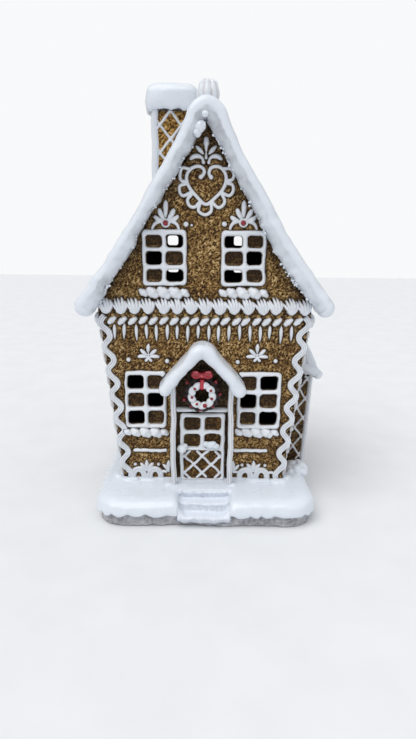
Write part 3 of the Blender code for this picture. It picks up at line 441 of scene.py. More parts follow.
# ------------------------------------------------------------ grids that close on themselves
def skin(store, P, wrap_u=True, wrap_v=False, cap0=True, cap1=True, flip=False, place=None, **att):
    """P is rows x cols x 3.  Columns wrap round; each end is closed with a fan."""
    rows, cols = P.shape[:2]
    idx = np.arange(rows * cols).reshape(rows, cols)
    a, b = idx[:-1], idx[1:]
    if wrap_v:
        a, b = idx, np.roll(idx, -1, 0)
    if wrap_u:
        a2, b2 = np.roll(a, -1, 1), np.roll(b, -1, 1)
    else:
        a, b, a2, b2 = a[:, :-1], b[:, :-1], a[:, 1:], b[:, 1:]
    quads = np.stack([a, a2, b2, b], -1).reshape(-1, 4)
    verts = P.reshape(-1, 3)
    tris = []
    for on, row, turn in ((cap0, 0, True), (cap1, rows - 1, False)):
        if on:
            c = len(verts)
            verts = np.vstack([verts, P[row].mean(0)])
            ring = idx[row]
            nxt = np.roll(ring, -1)
            t = np.stack([ring, nxt, np.full(cols, c)], 1)
            tris.append(t[:, ::-1] if turn else t)
    tris = np.vstack(tris) if tris else None
    if flip:
        quads = quads[:, ::-1]
        tris = tris[:, ::-1] if tris is not None else None
    full = {k: np.concatenate([np.ravel(x), np.full(len(verts) - rows * cols, float(np.mean(x)))]) if np.ndim(x) else x
            for k, x in att.items()}
    store.add(verts, quads, tris, place, **full)


def blob(store, centre, scale, seed=0, lump=0.06, n=20, place=None, att=None, power=1.0):
    """An ellipsoid, a little lumpy."""
    th = np.linspace(0, PI, n)[1:-1]
    ph = np.linspace(0, 2 * PI, 2 * n, endpoint=False)
    T, F = np.meshgrid(th, ph, indexing="ij")
    x, y, z = np.sin(T) * np.cos(F), np.sin(T) * np.sin(F), np.cos(T)
    k = 1 + lump * noise(x * 1.7 + seed, y * 1.7, z * 1.7, seed)
    P = np.stack([centre[0] + scale[0] * k * x, centre[1] + scale[1] * k * y, centre[2] + scale[2] * k * z], -1)
    skin(store, P, place=place, flip=True, **(att or {}))


def rope(store, path, radius, turns, depth=0.16, sides=20, per_mm=1.3, strands=2, place=None, seed=0, **att):
    """A twisted strand of piping along a straight or curved path."""
    path = np.asarray(path, float)
    seg = np.linalg.norm(np.diff(path, axis=0), axis=1)
    s = np.concatenate([[0], np.cumsum(seg)])
    n = max(6, int(s[-1] * per_mm))
    t = np.linspace(0, s[-1], n)
    c = np.stack([np.interp(t, s, path[:, k]) for k in range(3)], 1)
    tan = np.gradient(c, axis=0)
    tan /= np.linalg.norm(tan, axis=1, keepdims=True)
    ref = np.array((0.0, 1.0, 0.0)) if abs(tan[0] @ (0, 1, 0)) < 0.8 else np.array((1.0, 0, 0))
    e1 = np.cross(tan, ref)
    e1 /= np.linalg.norm(e1, axis=1, keepdims=True)
    e2 = np.cross(tan, e1)
    a = np.linspace(0, 2 * PI, sides, endpoint=False)
    twist = turns * 2 * PI * t[:, None] / max(s[-1], 1e-6)
    r = radius * (1 - depth * np.abs(np.sin(strands * 0.5 * (a[None, :] + twist))) ** 0.5 * 1.0)
    r = r * (1 + 0.05 * noise(t[:, None] / 3.0, a[None, :], 0, seed))
    ends = np.clip(np.minimum(t, s[-1] - t) / (0.9 * radius), 0, 1)
    r = r * np.sqrt(np.maximum(1 - (1 - ends) ** 2, 0.02))[:, None]
    P = c[:, None] + r[..., None] * (np.cos(a)[None, :, None] * e1[:, None] + np.sin(a)[None, :, None] * e2[:, None])
    skin(store, P, place=place, **att)


# ------------------------------------------------------------ materials
class Paint:
    """A Principled material and short names for its nodes."""

    def __init__(self, name):
        self.mat = bpy.data.materials.new(name)
        self.mat.use_nodes = True
        self.t = self.mat.node_tree
        self.bsdf = self.t.nodes["Principled BSDF"]

    def node(self, kind, **props):
        n = self.t.nodes.new(kind)
        for k, v in props.items():
            setattr(n, k, v)
        return n

    def link(self, a, b):
        self.t.links.new(a, b)

    def coord(self):
        return self.node("ShaderNodeTexCoord").outputs["Object"]

    def noise(self, scale, detail=3.0, rough=0.55, stretch=None, distortion=0.0):
        n = self.node("ShaderNodeTexNoise")
        n.inputs["Scale"].default_value = scale
        n.inputs["Detail"].default_value = detail
        n.inputs["Roughness"].default_value = rough
        n.inputs["Distortion"].default_value = distortion
        src = self.coord()
        if stretch:
            m = self.node("ShaderNodeMapping")
            m.inputs["Scale"].default_value = stretch
            self.link(src, m.inputs["Vector"])
            src = m.outputs["Vector"]
        self.link(src, n.inputs["Vector"])
        return n.outputs["Fac"]

    def attr(self, name):
        n = self.node("ShaderNodeAttribute", attribute_name=name)
        return n.outputs["Fac"]

    def remap(self, value, a, b, lo=0.0, hi=1.0):
        n = self.node("ShaderNodeMapRange")
        for k, v in zip(("From Min", "From Max", "To Min", "To Max"), (a, b, lo, hi)):
            n.inputs[k].default_value = v
        self.link(value, n.inputs["Value"])
        return n.outputs["Result"]

    def math(self, op, a, b):
        n = self.node("ShaderNodeMath", operation=op)
        for i, x in enumerate((a, b)):
            if isinstance(x, (int, float)):
                n.inputs[i].default_value = x
            else:
                self.link(x, n.inputs[i])
        return n.outputs["Value"]

    def mix(self, fac, a, b, blend="MIX"):
        n = self.node("ShaderNodeMix", data_type="RGBA", blend_type=blend)
        if isinstance(fac, (int, float)):
            n.inputs[0].default_value = fac
        else:
            self.link(fac, n.inputs[0])
        for i, x in ((6, a), (7, b)):
            if isinstance(x, tuple):
                n.inputs[i].default_value = (*x, 1.0)
            else:
                self.link(x, n.inputs[i])
        return n.outputs[2]

    def ramp(self, value, stops):
        n = self.node("ShaderNodeValToRGB")
        els = n.color_ramp.elements
        while len(els) < len(stops):
            els.new(0.5)
        for el, (p, rgb) in zip(els, stops):
            el.position, el.color = p, (*rgb, 1.0)
        self.link(value, n.inputs["Fac"])
        return n.outputs["Color"]

    def bump(self, height, strength, distance):
        n = self.node("ShaderNodeBump")
        n.inputs["Strength"].default_value = strength
        n.inputs["Distance"].default_value = distance
        self.link(height, n.inputs["Height"])
        self.link(n.outputs["Normal"], self.bsdf.inputs["Normal"])

    def done(self, colour, rough, spec=0.5, coat=0.0, coat_rough=0.2):
        self.link(colour, self.bsdf.inputs["Base Color"])
        if isinstance(rough, (int, float)):
            self.bsdf.inputs["Roughness"].default_value = rough
        else:
            self.link(rough, self.bsdf.inputs["Roughness"])
        self.bsdf.inputs["Specular IOR Level"].default_value = spec
        self.bsdf.inputs["Coat Weight"].default_value = coat
        self.bsdf.inputs["Coat Roughness"].default_value = coat_rough
        return self.mat


def srgb(r, g, b):
    return tuple(((c / 255) / 12.92 if c <= 10 else (((c / 255) + 0.055) / 1.055) ** 2.4) for c in (r, g, b))


def gingerbread(name, bright=1.0, gold=0.0):
    """Brown dough: dark antique paint in the creases, lighter paint dragged over the
    ridges, and a per-vertex darkening value that mixes in near-black brown: brown antique paint with painted shade
    beside the icing, painted shade under eaves, in the porch, in recesses and on inner faces."""
    p = Paint(name)
    blotch = p.noise(190, 3.0)
    patch = p.noise(60, 2.0)
    fine = p.noise(1350, 3.0, 0.6)
    v = p.math("MULTIPLY", p.attr("ridge"), p.remap(patch, 0.3, 0.72, 0.74, 0.94))
    v = p.math("MULTIPLY", v, p.remap(blotch, 0.28, 0.7, 0.86, 1.08))
    v = p.math("ADD", v, p.remap(fine, 0.28, 0.72, -0.16, 0.20))
    v = p.math("ADD", p.math("MULTIPLY", v, 1.30), -0.15 + 0.04 * gold)
    g = gold
    col = p.ramp(v, [(0.0, srgb(40, 25, 10)), (0.20, srgb(70, 47, 20 - 4 * g)), (0.42, srgb(113 + 22 * g, 83 + 14 * g, 43 - 4 * g)),
                     (0.64, srgb(161 + 18 * g, 129 + 10 * g, 78 - 4 * g)), (0.92, srgb(216, 187, 138))])
    # darkening value: brown antique paint and painted shade, mixed towards near-black brown
    wash = p.attr("wash")
    w = p.math("MULTIPLY", wash, p.remap(blotch, 0.3, 0.7, 0.80, 1.0))
    w = p.math("MULTIPLY", w, p.remap(fine, 0.3, 0.72, 1.05, 0.84))
    col = p.mix(w, col, srgb(28, 17, 9))
    tan = p.attr("tan")
    col = p.mix(tan, col, srgb(203, 172, 122))
    p.bump(fine, 0.55, 0.0004)
    return p.done(col, p.remap(v, 0.0, 0.9, 0.66, 0.52), 0.2)


def white(name, base, crease, rough, crease_tint_and_shade=0.25, lo=0.0, hi=0.35, streak=0.04, grain=0.12):
    """White paint with a crease colour mixed in where cav is low: brown antique paint and painted shade on the icing,
    painted grey shade on the snow.
    """
    p = Paint(name)
    cav = p.attr("cav")
    fine = p.noise(900, 4.0)
    soft = p.noise(130, 3.0)
    brush = p.noise(260, 3.0, 0.6, stretch=(1.0, 0.18, 0.18))
    # crease colour where cav is low: painted shade, with brown antique paint on the icing
    k = p.remap(cav, lo, hi, 1.0, 0.0)
    k = p.math("MULTIPLY", k, p.remap(soft, 0.3, 0.7, 0.35 * crease_tint_and_shade, crease_tint_and_shade))
    col = p.mix(p.remap(soft, 0.25, 0.75, 0.0, 1.0), base, tuple(c * 0.965 for c in base))
    col = p.mix(p.remap(brush, 0.3, 0.72, 0.0, streak * 4), col, tuple(c * (0.93 if i < 2 else 0.96) for i, c in enumerate(base)))
    col = p.mix(k, col, crease)
    p.bump(fine, grain, 0.00025)
    return p.done(col, p.remap(soft, 0.3, 0.7, rough - 0.05, rough + 0.06), 0.5, 0.15, 0.25)


# crease colours: brown on the icing is antique paint with painted shade, the greys on the snow are painted shade; the
# dimmer icing copy and the grooved one paint deeper shade in their grooves, the roof snow the darkest grey on its rims
ICE = white("icing_paint", srgb(233, 237, 243), srgb(150, 128, 104), 0.34, crease_tint_and_shade=0.75, hi=0.30)
ICE_DIM = white("icing_paint_dry_groove_shade", srgb(226, 230, 236), srgb(140, 118, 92), 0.42, crease_tint_and_shade=0.85, hi=0.42)
SNOW = white("snow_paint", srgb(232, 238, 246), srgb(168, 168, 172), 0.28, crease_tint_and_shade=0.5, streak=0.05, grain=0.06)
SNOW_BASE = white("snow_base_paint", srgb(229, 236, 245), srgb(160, 164, 172), 0.30, crease_tint_and_shade=0.6, streak=0.10, grain=0.08)
ICE_GROOVE_SHADE = white("icing_paint_groove_shade", srgb(235, 239, 246), srgb(112, 92, 72), 0.34, crease_tint_and_shade=0.95, hi=0.5)
SNOW_ROOF = white("snow_roof_paint", srgb(232, 238, 246), srgb(122, 122, 128), 0.30, crease_tint_and_shade=0.85, streak=0.08, grain=0.08)
BREAD = gingerbread("gingerbread_paint")
BREAD_GOLD = gingerbread("gingerbread_paint_gold", gold=1.0)


def dark_bread(name):
    """The same dough under darker antique paint, rubbed through to gold in places."""
    p = Paint(name)
    fine, soft = p.noise(1250, 3.0, 0.6), p.noise(170, 3.0, stretch=(1.0, 1.0, 0.25))
    v = p.math("ADD", p.math("MULTIPLY", p.attr("ridge"), 0.78), p.remap(soft, 0.3, 0.7, -0.12, 0.12))
    v = p.math("ADD", v, p.remap(fine, 0.3, 0.7, -0.12, 0.20))
    col = p.ramp(v, [(0.0, srgb(26, 16, 9)), (0.32, srgb(50, 34, 17)), (0.6, srgb(96, 70, 36)), (1.0, srgb(184, 148, 92))])
    p.bump(fine, 0.5, 0.0004)
    return p.done(col, 0.62, 0.16)


DARK = dark_bread("dark_paint")


def chocolate():
    p = Paint("wreath_brown_paint")
    fine = p.noise(700, 3.0)
    col = p.ramp(p.math("ADD", p.attr("ridge"), p.remap(fine, 0.3, 0.7, -0.1, 0.1)),
                 [(0.0, srgb(12, 7, 6)), (0.6, srgb(27, 15, 12)), (1.0, srgb(62, 38, 29))])
    p.bump(fine, 0.15, 0.0002)
    return p.done(col, 0.42, 0.3, 0.1, 0.2)


CHOC = chocolate()


def rock_paint():
    p = Paint("rock_paint")
    fine, mid = p.noise(1100, 5.0, 0.65), p.noise(260, 3.0)
    v = p.math("ADD", p.math("MULTIPLY", p.attr("ridge"), 0.75), p.remap(fine, 0.3, 0.7, -0.16, 0.2))
    v = p.math("ADD", v, p.remap(mid, 0.3, 0.7, -0.06, 0.1))
    col = p.ramp(v, [(0.0, srgb(122, 123, 128)), (0.35, srgb(166, 167, 172)), (0.7, srgb(196, 197, 201)), (1.0, srgb(226, 227, 230))])
    p.bump(fine, 0.5, 0.0003)
    return p.done(col, 0.85, 0.3)


ROCK = rock_paint()


def red_paint():
    p = Paint("red_paint")
    soft = p.noise(420, 3.0)
    v = p.math("ADD", p.attr("ridge"), p.remap(soft, 0.3, 0.7, -0.12, 0.12))
    # the pale pink top of the ramp is a painted highlight, reached where ridge is high as on the bow
    col = p.ramp(v, [(0.0, srgb(104, 8, 20)), (0.5, srgb(150, 14, 32)), (0.85, srgb(188, 34, 54)), (1.0, srgb(220, 110, 112))])
    p.bump(soft, 0.1, 0.0002)
    return p.done(col, 0.24, 0.55, 0.35, 0.12)


RED = red_paint()


# ------------------------------------------------------------ piping kinds that are not strokes
class Sash:
    """A window frame: a soft rectangle less its panes."""

    def __init__(self, cols, rows, outer, open_panes=(), seed=0, r_out=2.6, r_pane=2.1, R=1.15, high=1.9, mirror=False):
        self.cols, self.rows, self.outer, self.open = cols, rows, outer, set(open_panes)
        self.seed, self.r_out, self.r_pane, self.R, self.high = seed, r_out, r_pane, R, high
        self.mirror = mirror

    def panes(self, grow=0.0):
        for c, (x0, x1) in enumerate(self.cols):
            for r, (z0, z1) in enumerate(self.rows):
                dx, dz = 0.09 * ((c + 2 * r) % 3 - 1), 0.16 * (c - 0.5)
                x0_, x1_ = x0 - grow + dx, x1 + grow + dx
                if self.mirror:
                    x0_, x1_ = -x1_, -x0_
                yield (c, r), (x0_, z0 - grow + dz, x1_, z1 + grow + dz)

    def box(self):
        x0, z0, x1, z1 = self.outer
        if self.mirror:
            x0, x1 = -x1, -x0
        return (x0 - 1.5, z0 - 1.5), (x1 + 1.5, z1 + 1.5)

    def dist(self, u, v):
        a, b = 0.30 * noise(u / 5.0, v / 5.0, 1, self.seed + 3), 0.30 * noise(u / 5.0, v / 5.0, 6, self.seed + 5)
        u, v = u + a, v + b
        x0, z0, x1, z1 = self.outer
        if self.mirror:
            x0, x1 = -x1, -x0
        d = rect_d(u, v, x0, z0, x1, z1, self.r_out)
        for _, (px0, pz0, px1, pz1) in self.panes():
            d = np.minimum(d, -rect_d(u, v, px0, pz0, px1, pz1, self.r_pane))
        return d

    def both(self, u, v):
        return self.dist(u, v), np.full(np.shape(u), self.R)

    def dome(self, u, v):
        d = self.dist(u, v)
        t = np.clip(d / self.R, 0, 1)
        return self.high * np.sqrt(np.maximum(1 - (1 - t) ** 2, 0)) + 0.25 * np.clip(d - self.R, 0, 1.2) \
            + 0.16 * noise(u / 3.2, v / 3.2, 9, self.seed) * t

    def shine(self, u, v):
        return {"cav": np.clip(self.dist(u, v) / self.R, 0, 1)}


SEED = [100]


def seed():
    SEED[0] += 11
    return SEED[0]


ODD = {(0, 0), (1, 1), (0, 2)}
EVEN = {(1, 0), (0, 1), (1, 2)}
UP_ROWS = ((162.2, 169.3), (152.4, 160.1), (142.7, 149.8))
LOW_ROWS = ((77.0, 85.6), (65.4, 74.3), (54.2, 62.8))
SIDE_ROWS = ((60.0, 68.5), (48.5, 57.0), (37.2, 45.5))
FRONT_WINDOWS = {
    "upper_left": Sash(((-34.4, -25.2), (-22.8, -12.9)), UP_ROWS, (-36.6, 140.4, -10.7, 172.4), EVEN, seed()),
    "upper_right": Sash(((11.4, 21.6), (24.2, 33.2)), UP_ROWS, (9.3, 140.4, 35.3, 172.2), ODD, seed()),
    "lower_left": Sash(((-47.2, -37.1), (-34.7, -25.2)), LOW_ROWS, (-48.9, 51.6, -23.2, 88.4), ODD, seed()),
    "lower_right": Sash(((22.7, 32.2), (34.7, 45.3)), LOW_ROWS, (20.6, 51.6, 47.6, 88.4), EVEN, seed()),
}


def gable_d(u, v):
    """Inside of the gable below the snow lip."""
    s = ROOF_SLOPE - np.maximum(np.abs(u) - ROOF_BREAK, 0.0) * EASE
    return (roof_z(u) - v) / np.hypot(s, 1.0)


EDGE_LEFT = ((0, -0.8), (10, 0.0), (18, 0.5), (22, 1.4), (25, 1.0), (30, 2.5), (36.5, 2.9), (39, 1.1), (46, 2.0), (52, 2.2), (56, 1.4), (60, 0.4), (68, 0.0))
EDGE_RIGHT = ((0, -0.8), (7, -0.1), (13, -0.5), (18, -0.6), (24, -0.3), (28, 0.4), (32, -0.9), (35, -0.3), (40, -1.2), (45, -0.2), (48, -0.6), (54, 0.3), (61, 1.5), (68, 1.0))


def snow_edge(x):
    """How far the inner edge of the front snow lies outside the roof line."""
    l, r = np.array(EDGE_LEFT, float), np.array(EDGE_RIGHT, float)
    x = np.asarray(x, float)
    return np.where(x < 0, np.interp(-x, l[:, 0], l[:, 1]), np.interp(x, r[:, 0], r[:, 1]))


def front_gable_d(u, v):
    return gable_d(u, v) + np.maximum(snow_edge(u), 0.0)


# ------------------------------------------------------------ front: strokes
FRONT = {}                                  # meant as name -> list of (piping, slot nodes); left empty and unused


def shell_row(pip, u0, u1, count, v, half_h, sign=1, seed_=0):
    """Piped shells: each a fan of curved fingers that start in a fringe of
    tips at the upper left and gather at the lower right."""
    rng = np.random.default_rng(seed_)
    pitch = (u1 - u0) / count
    bodies = []
    for k in range(count):
        j = rng.normal(0, 0.25, 4)
        cx, cz = u0 + pitch * (k + 0.5) + j[0], v + 0.4 * j[1]
        W, H = pitch * 0.56, half_h
        foot = (cx + sign * 0.26 * W, cz - 0.84 * H)
        n = 5
        for i in range(n):
            t = i / (n - 1)
            # tips run from the left, low, over the top to the right
            tx = cx + sign * W * (-1.02 + 1.66 * t ** 1.15) + rng.normal(0, 0.22)
            tz = cz + H * (0.24 + 0.74 * math.sin(PI * (0.12 + 0.62 * t))) + rng.normal(0, 0.30)
            if t > 0.9:
                tz -= 0.22 * H
            mx = cx + sign * W * (-0.62 + 1.72 * t)
            mz = cz + H * (-0.16 + 0.30 * t)
            r = 0.98 if 0 < i < n - 1 else 0.90
            rad = r * np.array((0.34, 0.72, 0.95, 1.05, 1.08, 1.05, 0.98, 0.88, 0.78))
            pip.stroke(bezier((tx, tz), (mx, mz), (foot[0] + sign * W * 0.62 * (t - 0.55), foot[1] + 0.22 * H * abs(t - 0.5)), 9), rad)
        pip.stroke(bezier((cx - sign * 0.30 * W, cz - 0.60 * H), (cx, cz - 0.9 * H), foot, 6), 1.05)
        bodies.append((cx + sign * 0.05 * W, cz - 0.05 * H, W * 1.02, H * 1.06))
    return bodies


def bodies_height(bodies, high):
    def body(u, v):
        out = np.zeros(np.shape(u))
        for cx, cz, a, b in bodies:
            q = 1 - ((u - cx) / a) ** 2 - ((v - cz) / b) ** 2
            out = np.maximum(out, high * np.sqrt(np.clip(q, 0, 1)))
        return out
    return body


def ricrac(sign, lo, hi, seed_, phase=118.0, half=wall_half, lanes=(-1.22, 0.0, 1.22), amp=2.3, mid=2.7):
    """Three strands laid side by side in a zigzag down a corner."""
    pip = Piping(blend=0.03, aspect=2.2, wobble=0.14, seed=seed_)
    z = np.linspace(hi, lo, int((hi - lo) / 1.1))
    w = 2 * PI / 15.0
    c = np.cos(w * (z - phase))
    swing = amp * (c * (1.12 - 0.12 * c * c))
    x = half(z) - mid + swing
    dx = np.gradient(x, z)
    n = np.hypot(1, dx)
    for k, lane in enumerate(lanes):
        px, pz = x + lane / n, z - lane * dx / n
        r = 0.655 * (1 + 0.05 * np.sin(0.9 * z + 2 * k + seed_)) + 0.03 * np.abs(c)
        pip.stroke(np.stack([sign * px, pz], 1), r)
    return pip


def sill(x0, x1, z, radii, seed_, lean=1.0):
    pip = Piping(blend=0.22, aspect=1.18, wobble=0.18, seed=seed_)
    total = sum(radii) * 2
    at = x0
    for k, r in enumerate(radii):
        w = 2 * r / total * (x1 - x0)
        cx = at + w / 2
        h = 0.62 * r
        pip.stroke([(cx - 0.52 * r * lean, z + h * 0.75), (cx, z), (cx + 0.60 * r * lean, z - h * 0.8)],
                   [0.62 * r, 0.98 * r, 0.68 * r])
        at += w
    return pip


P_SILL = {
    "upper_left": sill(-38.9, -9.6, 136.2, (2.3, 3.2, 3.5, 3.4, 2.4), seed()),
    "upper_right": sill(8.3, 37.2, 136.4, (2.2, 3.0, 3.4, 3.4, 2.4), seed()),
    "lower_left": sill(-50.2, -22.5, 48.7, (2.2, 2.9, 3.3, 3.3, 2.2), seed()),
    "lower_right": sill(19.7, 46.9, 49.2, (2.2, 3.0, 3.3, 3.2, 2.2), seed()),
}

# shells, leaves and drops between the storeys
ROW_HALF = wall_half(128.5) - 0.4
P_SHELL = Piping(blend=0.05, aspect=1.9, wobble=0.16, seed=seed())
SHELL_BODIES = shell_row(P_SHELL, -ROW_HALF + 0.5, ROW_HALF - 0.5, 15, 128.6, 4.9, 1, 5)

P_LEAF = Piping(blend=0.15, aspect=1.25, wobble=0.12, seed=seed())
rng = np.random.default_rng(7)
LEAF_X = np.linspace(-55.4, 56.0, 19)
TAN_BEADS = []
for k, x in enumerate(LEAF_X):
    x += rng.normal(0, 0.25)
    z = 119.6 + rng.normal(0, 0.25)
    P_LEAF.stroke([(x - 1.5, z - 1.35), (x - 0.2, z - 0.1), (x + 1.5, z + 1.25)], [1.45, 2.0, 1.45])
    TAN_BEADS.append((x + 0.7, z + 2.9, 1.25))

P_DROP = Piping(blend=0.15, aspect=1.1, wobble=0.10, seed=seed())
DROPS = []
for k, x in enumerate(np.linspace(-54.0, 52.2, 18)):
    x += rng.normal(0, 0.3)
    long = 9.4 + rng.normal(0, 0.5)
    top = 117.0 + rng.normal(0, 0.3)
    s = rng.normal(0, 0.25)
    t = np.linspace(0, 1, 9)
    rad = 1.22 * np.maximum(0.26, np.sin(PI * (0.06 + 0.90 * t ** 0.8)) ** 0.75) * (1 - 0.25 * t)
    P_DROP.stroke(np.stack([x + s * t, top - long * t], 1), rad)

P_BAND = {"left": ricrac(-1, 18.6, 122.2, seed()), "right": ricrac(1, 18.6, 122.2, seed())}


def upper_palmette(cx, cz, tips, seed_, dots):
    """A bead in a ring, petals above it and two arcs curling down."""
    pip = Piping(blend=0.16, aspect=1.0, wobble=0.12, seed=seed_)
    for (tx, tz), bend, r in tips:
        ax, az = cx + 0.30 * (tx - cx), cz + 0.30 * (tz - cz)
        mx, mz = (ax + tx) / 2 + bend * -(tz - az) * 0.22, (az + tz) / 2 + bend * (tx - ax) * 0.22
        t = np.linspace(0, 1, 9)
        pip.stroke(bezier((ax, az), (mx, mz), (tx, tz), 9), r * np.interp(t, [0, 0.25, 0.6, 0.85, 1], [0.5, 1.0, 1.25, 1.1, 0.5]))
    ring = [(cx + 1.95 * math.cos(a), cz + 1.95 * math.sin(a)) for a in np.linspace(0, 2 * PI, 25)]
    pip.stroke(ring, 0.72)
    for sgn in (-1, 1):
        pip.stroke(bezier((cx + sgn * 2.6, cz + 0.6), (cx + sgn * 6.6, cz + 0.9), (cx + sgn * 7.6, cz - 3.2), 9),
                   np.array((0.6, 0.85, 1.0, 1.05, 1.05, 1.0, 0.95, 0.85, 0.8)))
    for x, z, r in dots:
        pip.dot(x, z, r)
    return pip


P_PALM = {
    "upper_left": upper_palmette(-22.9, 175.9, [((-22.7, 187.9), 0.0, 1.3), ((-26.6, 183.6), 0.5, 1.2), ((-18.0, 183.4), -0.5, 1.2),
                                                ((-29.2, 179.7), 0.9, 1.15), ((-15.8, 179.9), -0.9, 1.15)], seed(),
                                 [(-11.2, 175.4, 1.55), (-7.9, 174.9, 0.8)]),
    "upper_right": upper_palmette(21.7, 176.3, [((21.8, 188.2), 0.0, 1.3), ((18.0, 184.0), 0.5, 1.2), ((26.4, 183.6), -0.5, 1.2),
                                                ((14.6, 179.8), 0.9, 1.15), ((28.5, 179.8), -0.9, 1.15)], seed(),
                                  [(10.8, 175.7, 1.5)]),
}

# small palmette under the apex
pip = Piping(blend=0.14, aspect=1.1, wobble=0.08, seed=seed())
pip.stroke([(0.0, 214.6), (0.0, 216.6), (0.1, 219.0), (0.1, 220.8), (0.1, 222.0)], [0.45, 0.95, 1.75, 1.5, 0.55])
for s_ in (-1, 1):
    pip.stroke(bezier((s_ * 1.7, 213.3), (s_ * 3.3, 215.2), (s_ * 5.3, 217.0), 8), [0.5, 0.8, 1.05, 1.25, 1.3, 1.2, 1.0, 0.7])
    pip.stroke(smooth_path([(s_ * 8.5, 210.7), (s_ * 6.6, 211.9), (s_ * 4.2, 212.0), (s_ * 2.2, 210.9), (s_ * 1.5, 208.8)], 4),
               np.interp(np.linspace(0, 1, 17), [0, 0.15, 0.4, 0.75, 0.9, 1], [0.85, 1.35, 1.4, 0.8, 0.75, 1.0]))
pip.stroke([(0.0, 211.2), (0.0, 213.6)], [0.9, 0.5])
P_PALM["gable"] = pip


def lower_palmette(cx, cz, seed_, dots):
    """A small upright bloom: a tall leaf, two short ones and two that curl
    down beside the foot."""
    pip = Piping(blend=0.10, aspect=1.2, wobble=0.08, seed=seed_)
    pip.stroke([(cx, cz + 5.2), (cx - 0.1, cz + 6.8), (cx, cz + 8.6), (cx + 0.1, cz + 10.2)], [0.45, 1.05, 1.3, 0.6])
    pip.stroke([(cx, cz + 1.6), (cx, cz + 4.2)], [0.7, 0.5])
    for s_ in (-1, 1):
        pip.stroke(bezier((cx + s_ * 1.0, cz + 3.9), (cx + s_ * 2.6, cz + 5.2), (cx + s_ * 4.3, cz + 6.7), 7), [0.5, 0.8, 1.0, 1.15, 1.2, 1.1, 0.85])
        pip.stroke(bezier((cx + s_ * 1.1, cz + 2.6), (cx + s_ * 3.2, cz + 3.3), (cx + s_ * 5.8, cz + 2.7), 7), [0.55, 0.85, 1.05, 1.2, 1.25, 1.15, 0.9])
        pip.stroke(bezier((cx + s_ * 0.5, cz + 2.0), (cx + s_ * 0.8, cz + 0.8), (cx + s_ * 1.5, cz + 0.3), 5), [0.6, 0.7, 0.85, 0.95, 0.9])
    for x, z, r in dots:
        pip.dot(x, z, r)
    return pip


P_PALM["lower_left"] = lower_palmette(-34.0, 94.6, seed(), [(-46.2, 95.4, 1.4), (-22.7, 94.7, 1.4)])
P_PALM["lower_right"] = lower_palmette(32.1, 95.2, seed(), [(20.4, 94.6, 1.3), (43.4, 95.4, 1.4)])

# heart: one open spiral with a curl at each end, and seven arcs round it
HEART_Z = 198.2
P_HEART = Piping(blend=0.14, aspect=1.2, wobble=0.10, seed=seed())
P_HEART.stroke(smooth_path([(-2.7, 201.2), (-1.5, 202.4), (-1.0, 204.1), (-2.1, 205.9), (-4.8, 206.7), (-8.0, 205.6), (-10.5, 202.6), (-10.7, 199.0),
                            (-8.9, 194.9), (-4.5, 189.9), (0.2, 186.3), (5.2, 189.8), (9.6, 194.4), (11.3, 199.0), (10.8, 203.0), (8.4, 205.9),
                            (5.2, 206.7), (2.6, 205.7), (1.7, 203.6), (2.0, 202.0), (2.9, 201.0)], 5), 1.03)
P_HEART.dot(-2.9, 201.0, 1.3).dot(3.0, 200.9, 1.3)
for x0, z0, x1, z1, x2, z2, x3, z3, x4, z4 in (
        (-9.6, 205.2, -13.4, 205.6, -14.6, 202.0, -13.9, 199.2, -11.2, 198.4),
        (-11.4, 197.4, -14.7, 196.2, -14.6, 192.6, -12.6, 191.0, -8.9, 192.6),
        (-8.4, 191.2, -10.4, 188.8, -9.4, 185.6, -6.4, 184.8, -3.8, 187.2),
        (-3.4, 186.2, -3.9, 182.6, -0.4, 180.7, 3.0, 182.5, 3.2, 186.2),
        (4.0, 187.2, 7.0, 184.7, 9.9, 185.9, 10.7, 188.8, 9.2, 191.6),
        (9.7, 192.5, 13.4, 191.3, 15.5, 193.6, 15.0, 197.0, 12.2, 198.0),
        (12.0, 199.2, 15.0, 200.0, 15.7, 203.0, 13.6, 205.6, 9.6, 205.4)):
    P_HEART.stroke(smooth_path([(x0, z0), (x1, z1), (x2, z2), (x3, z3), (x4, z4)], 6), 0.98)

# lower trim
P_BAR = {}
for nm, a, b, z in (("left", -44.6, -23.2, 36.3), ("right", 18.9, 40.4, 36.8)):
    pip = Piping(blend=0.3, aspect=1.0, wobble=0.2, seed=seed())
    x = np.linspace(a + 1.1, b - 1.1, 14)
    pip.stroke(np.stack([x, z + 0.10 * np.sin(x)], 1), 1.15 + 0.12 * np.sin(1.3 * x))
    P_BAR[nm] = pip


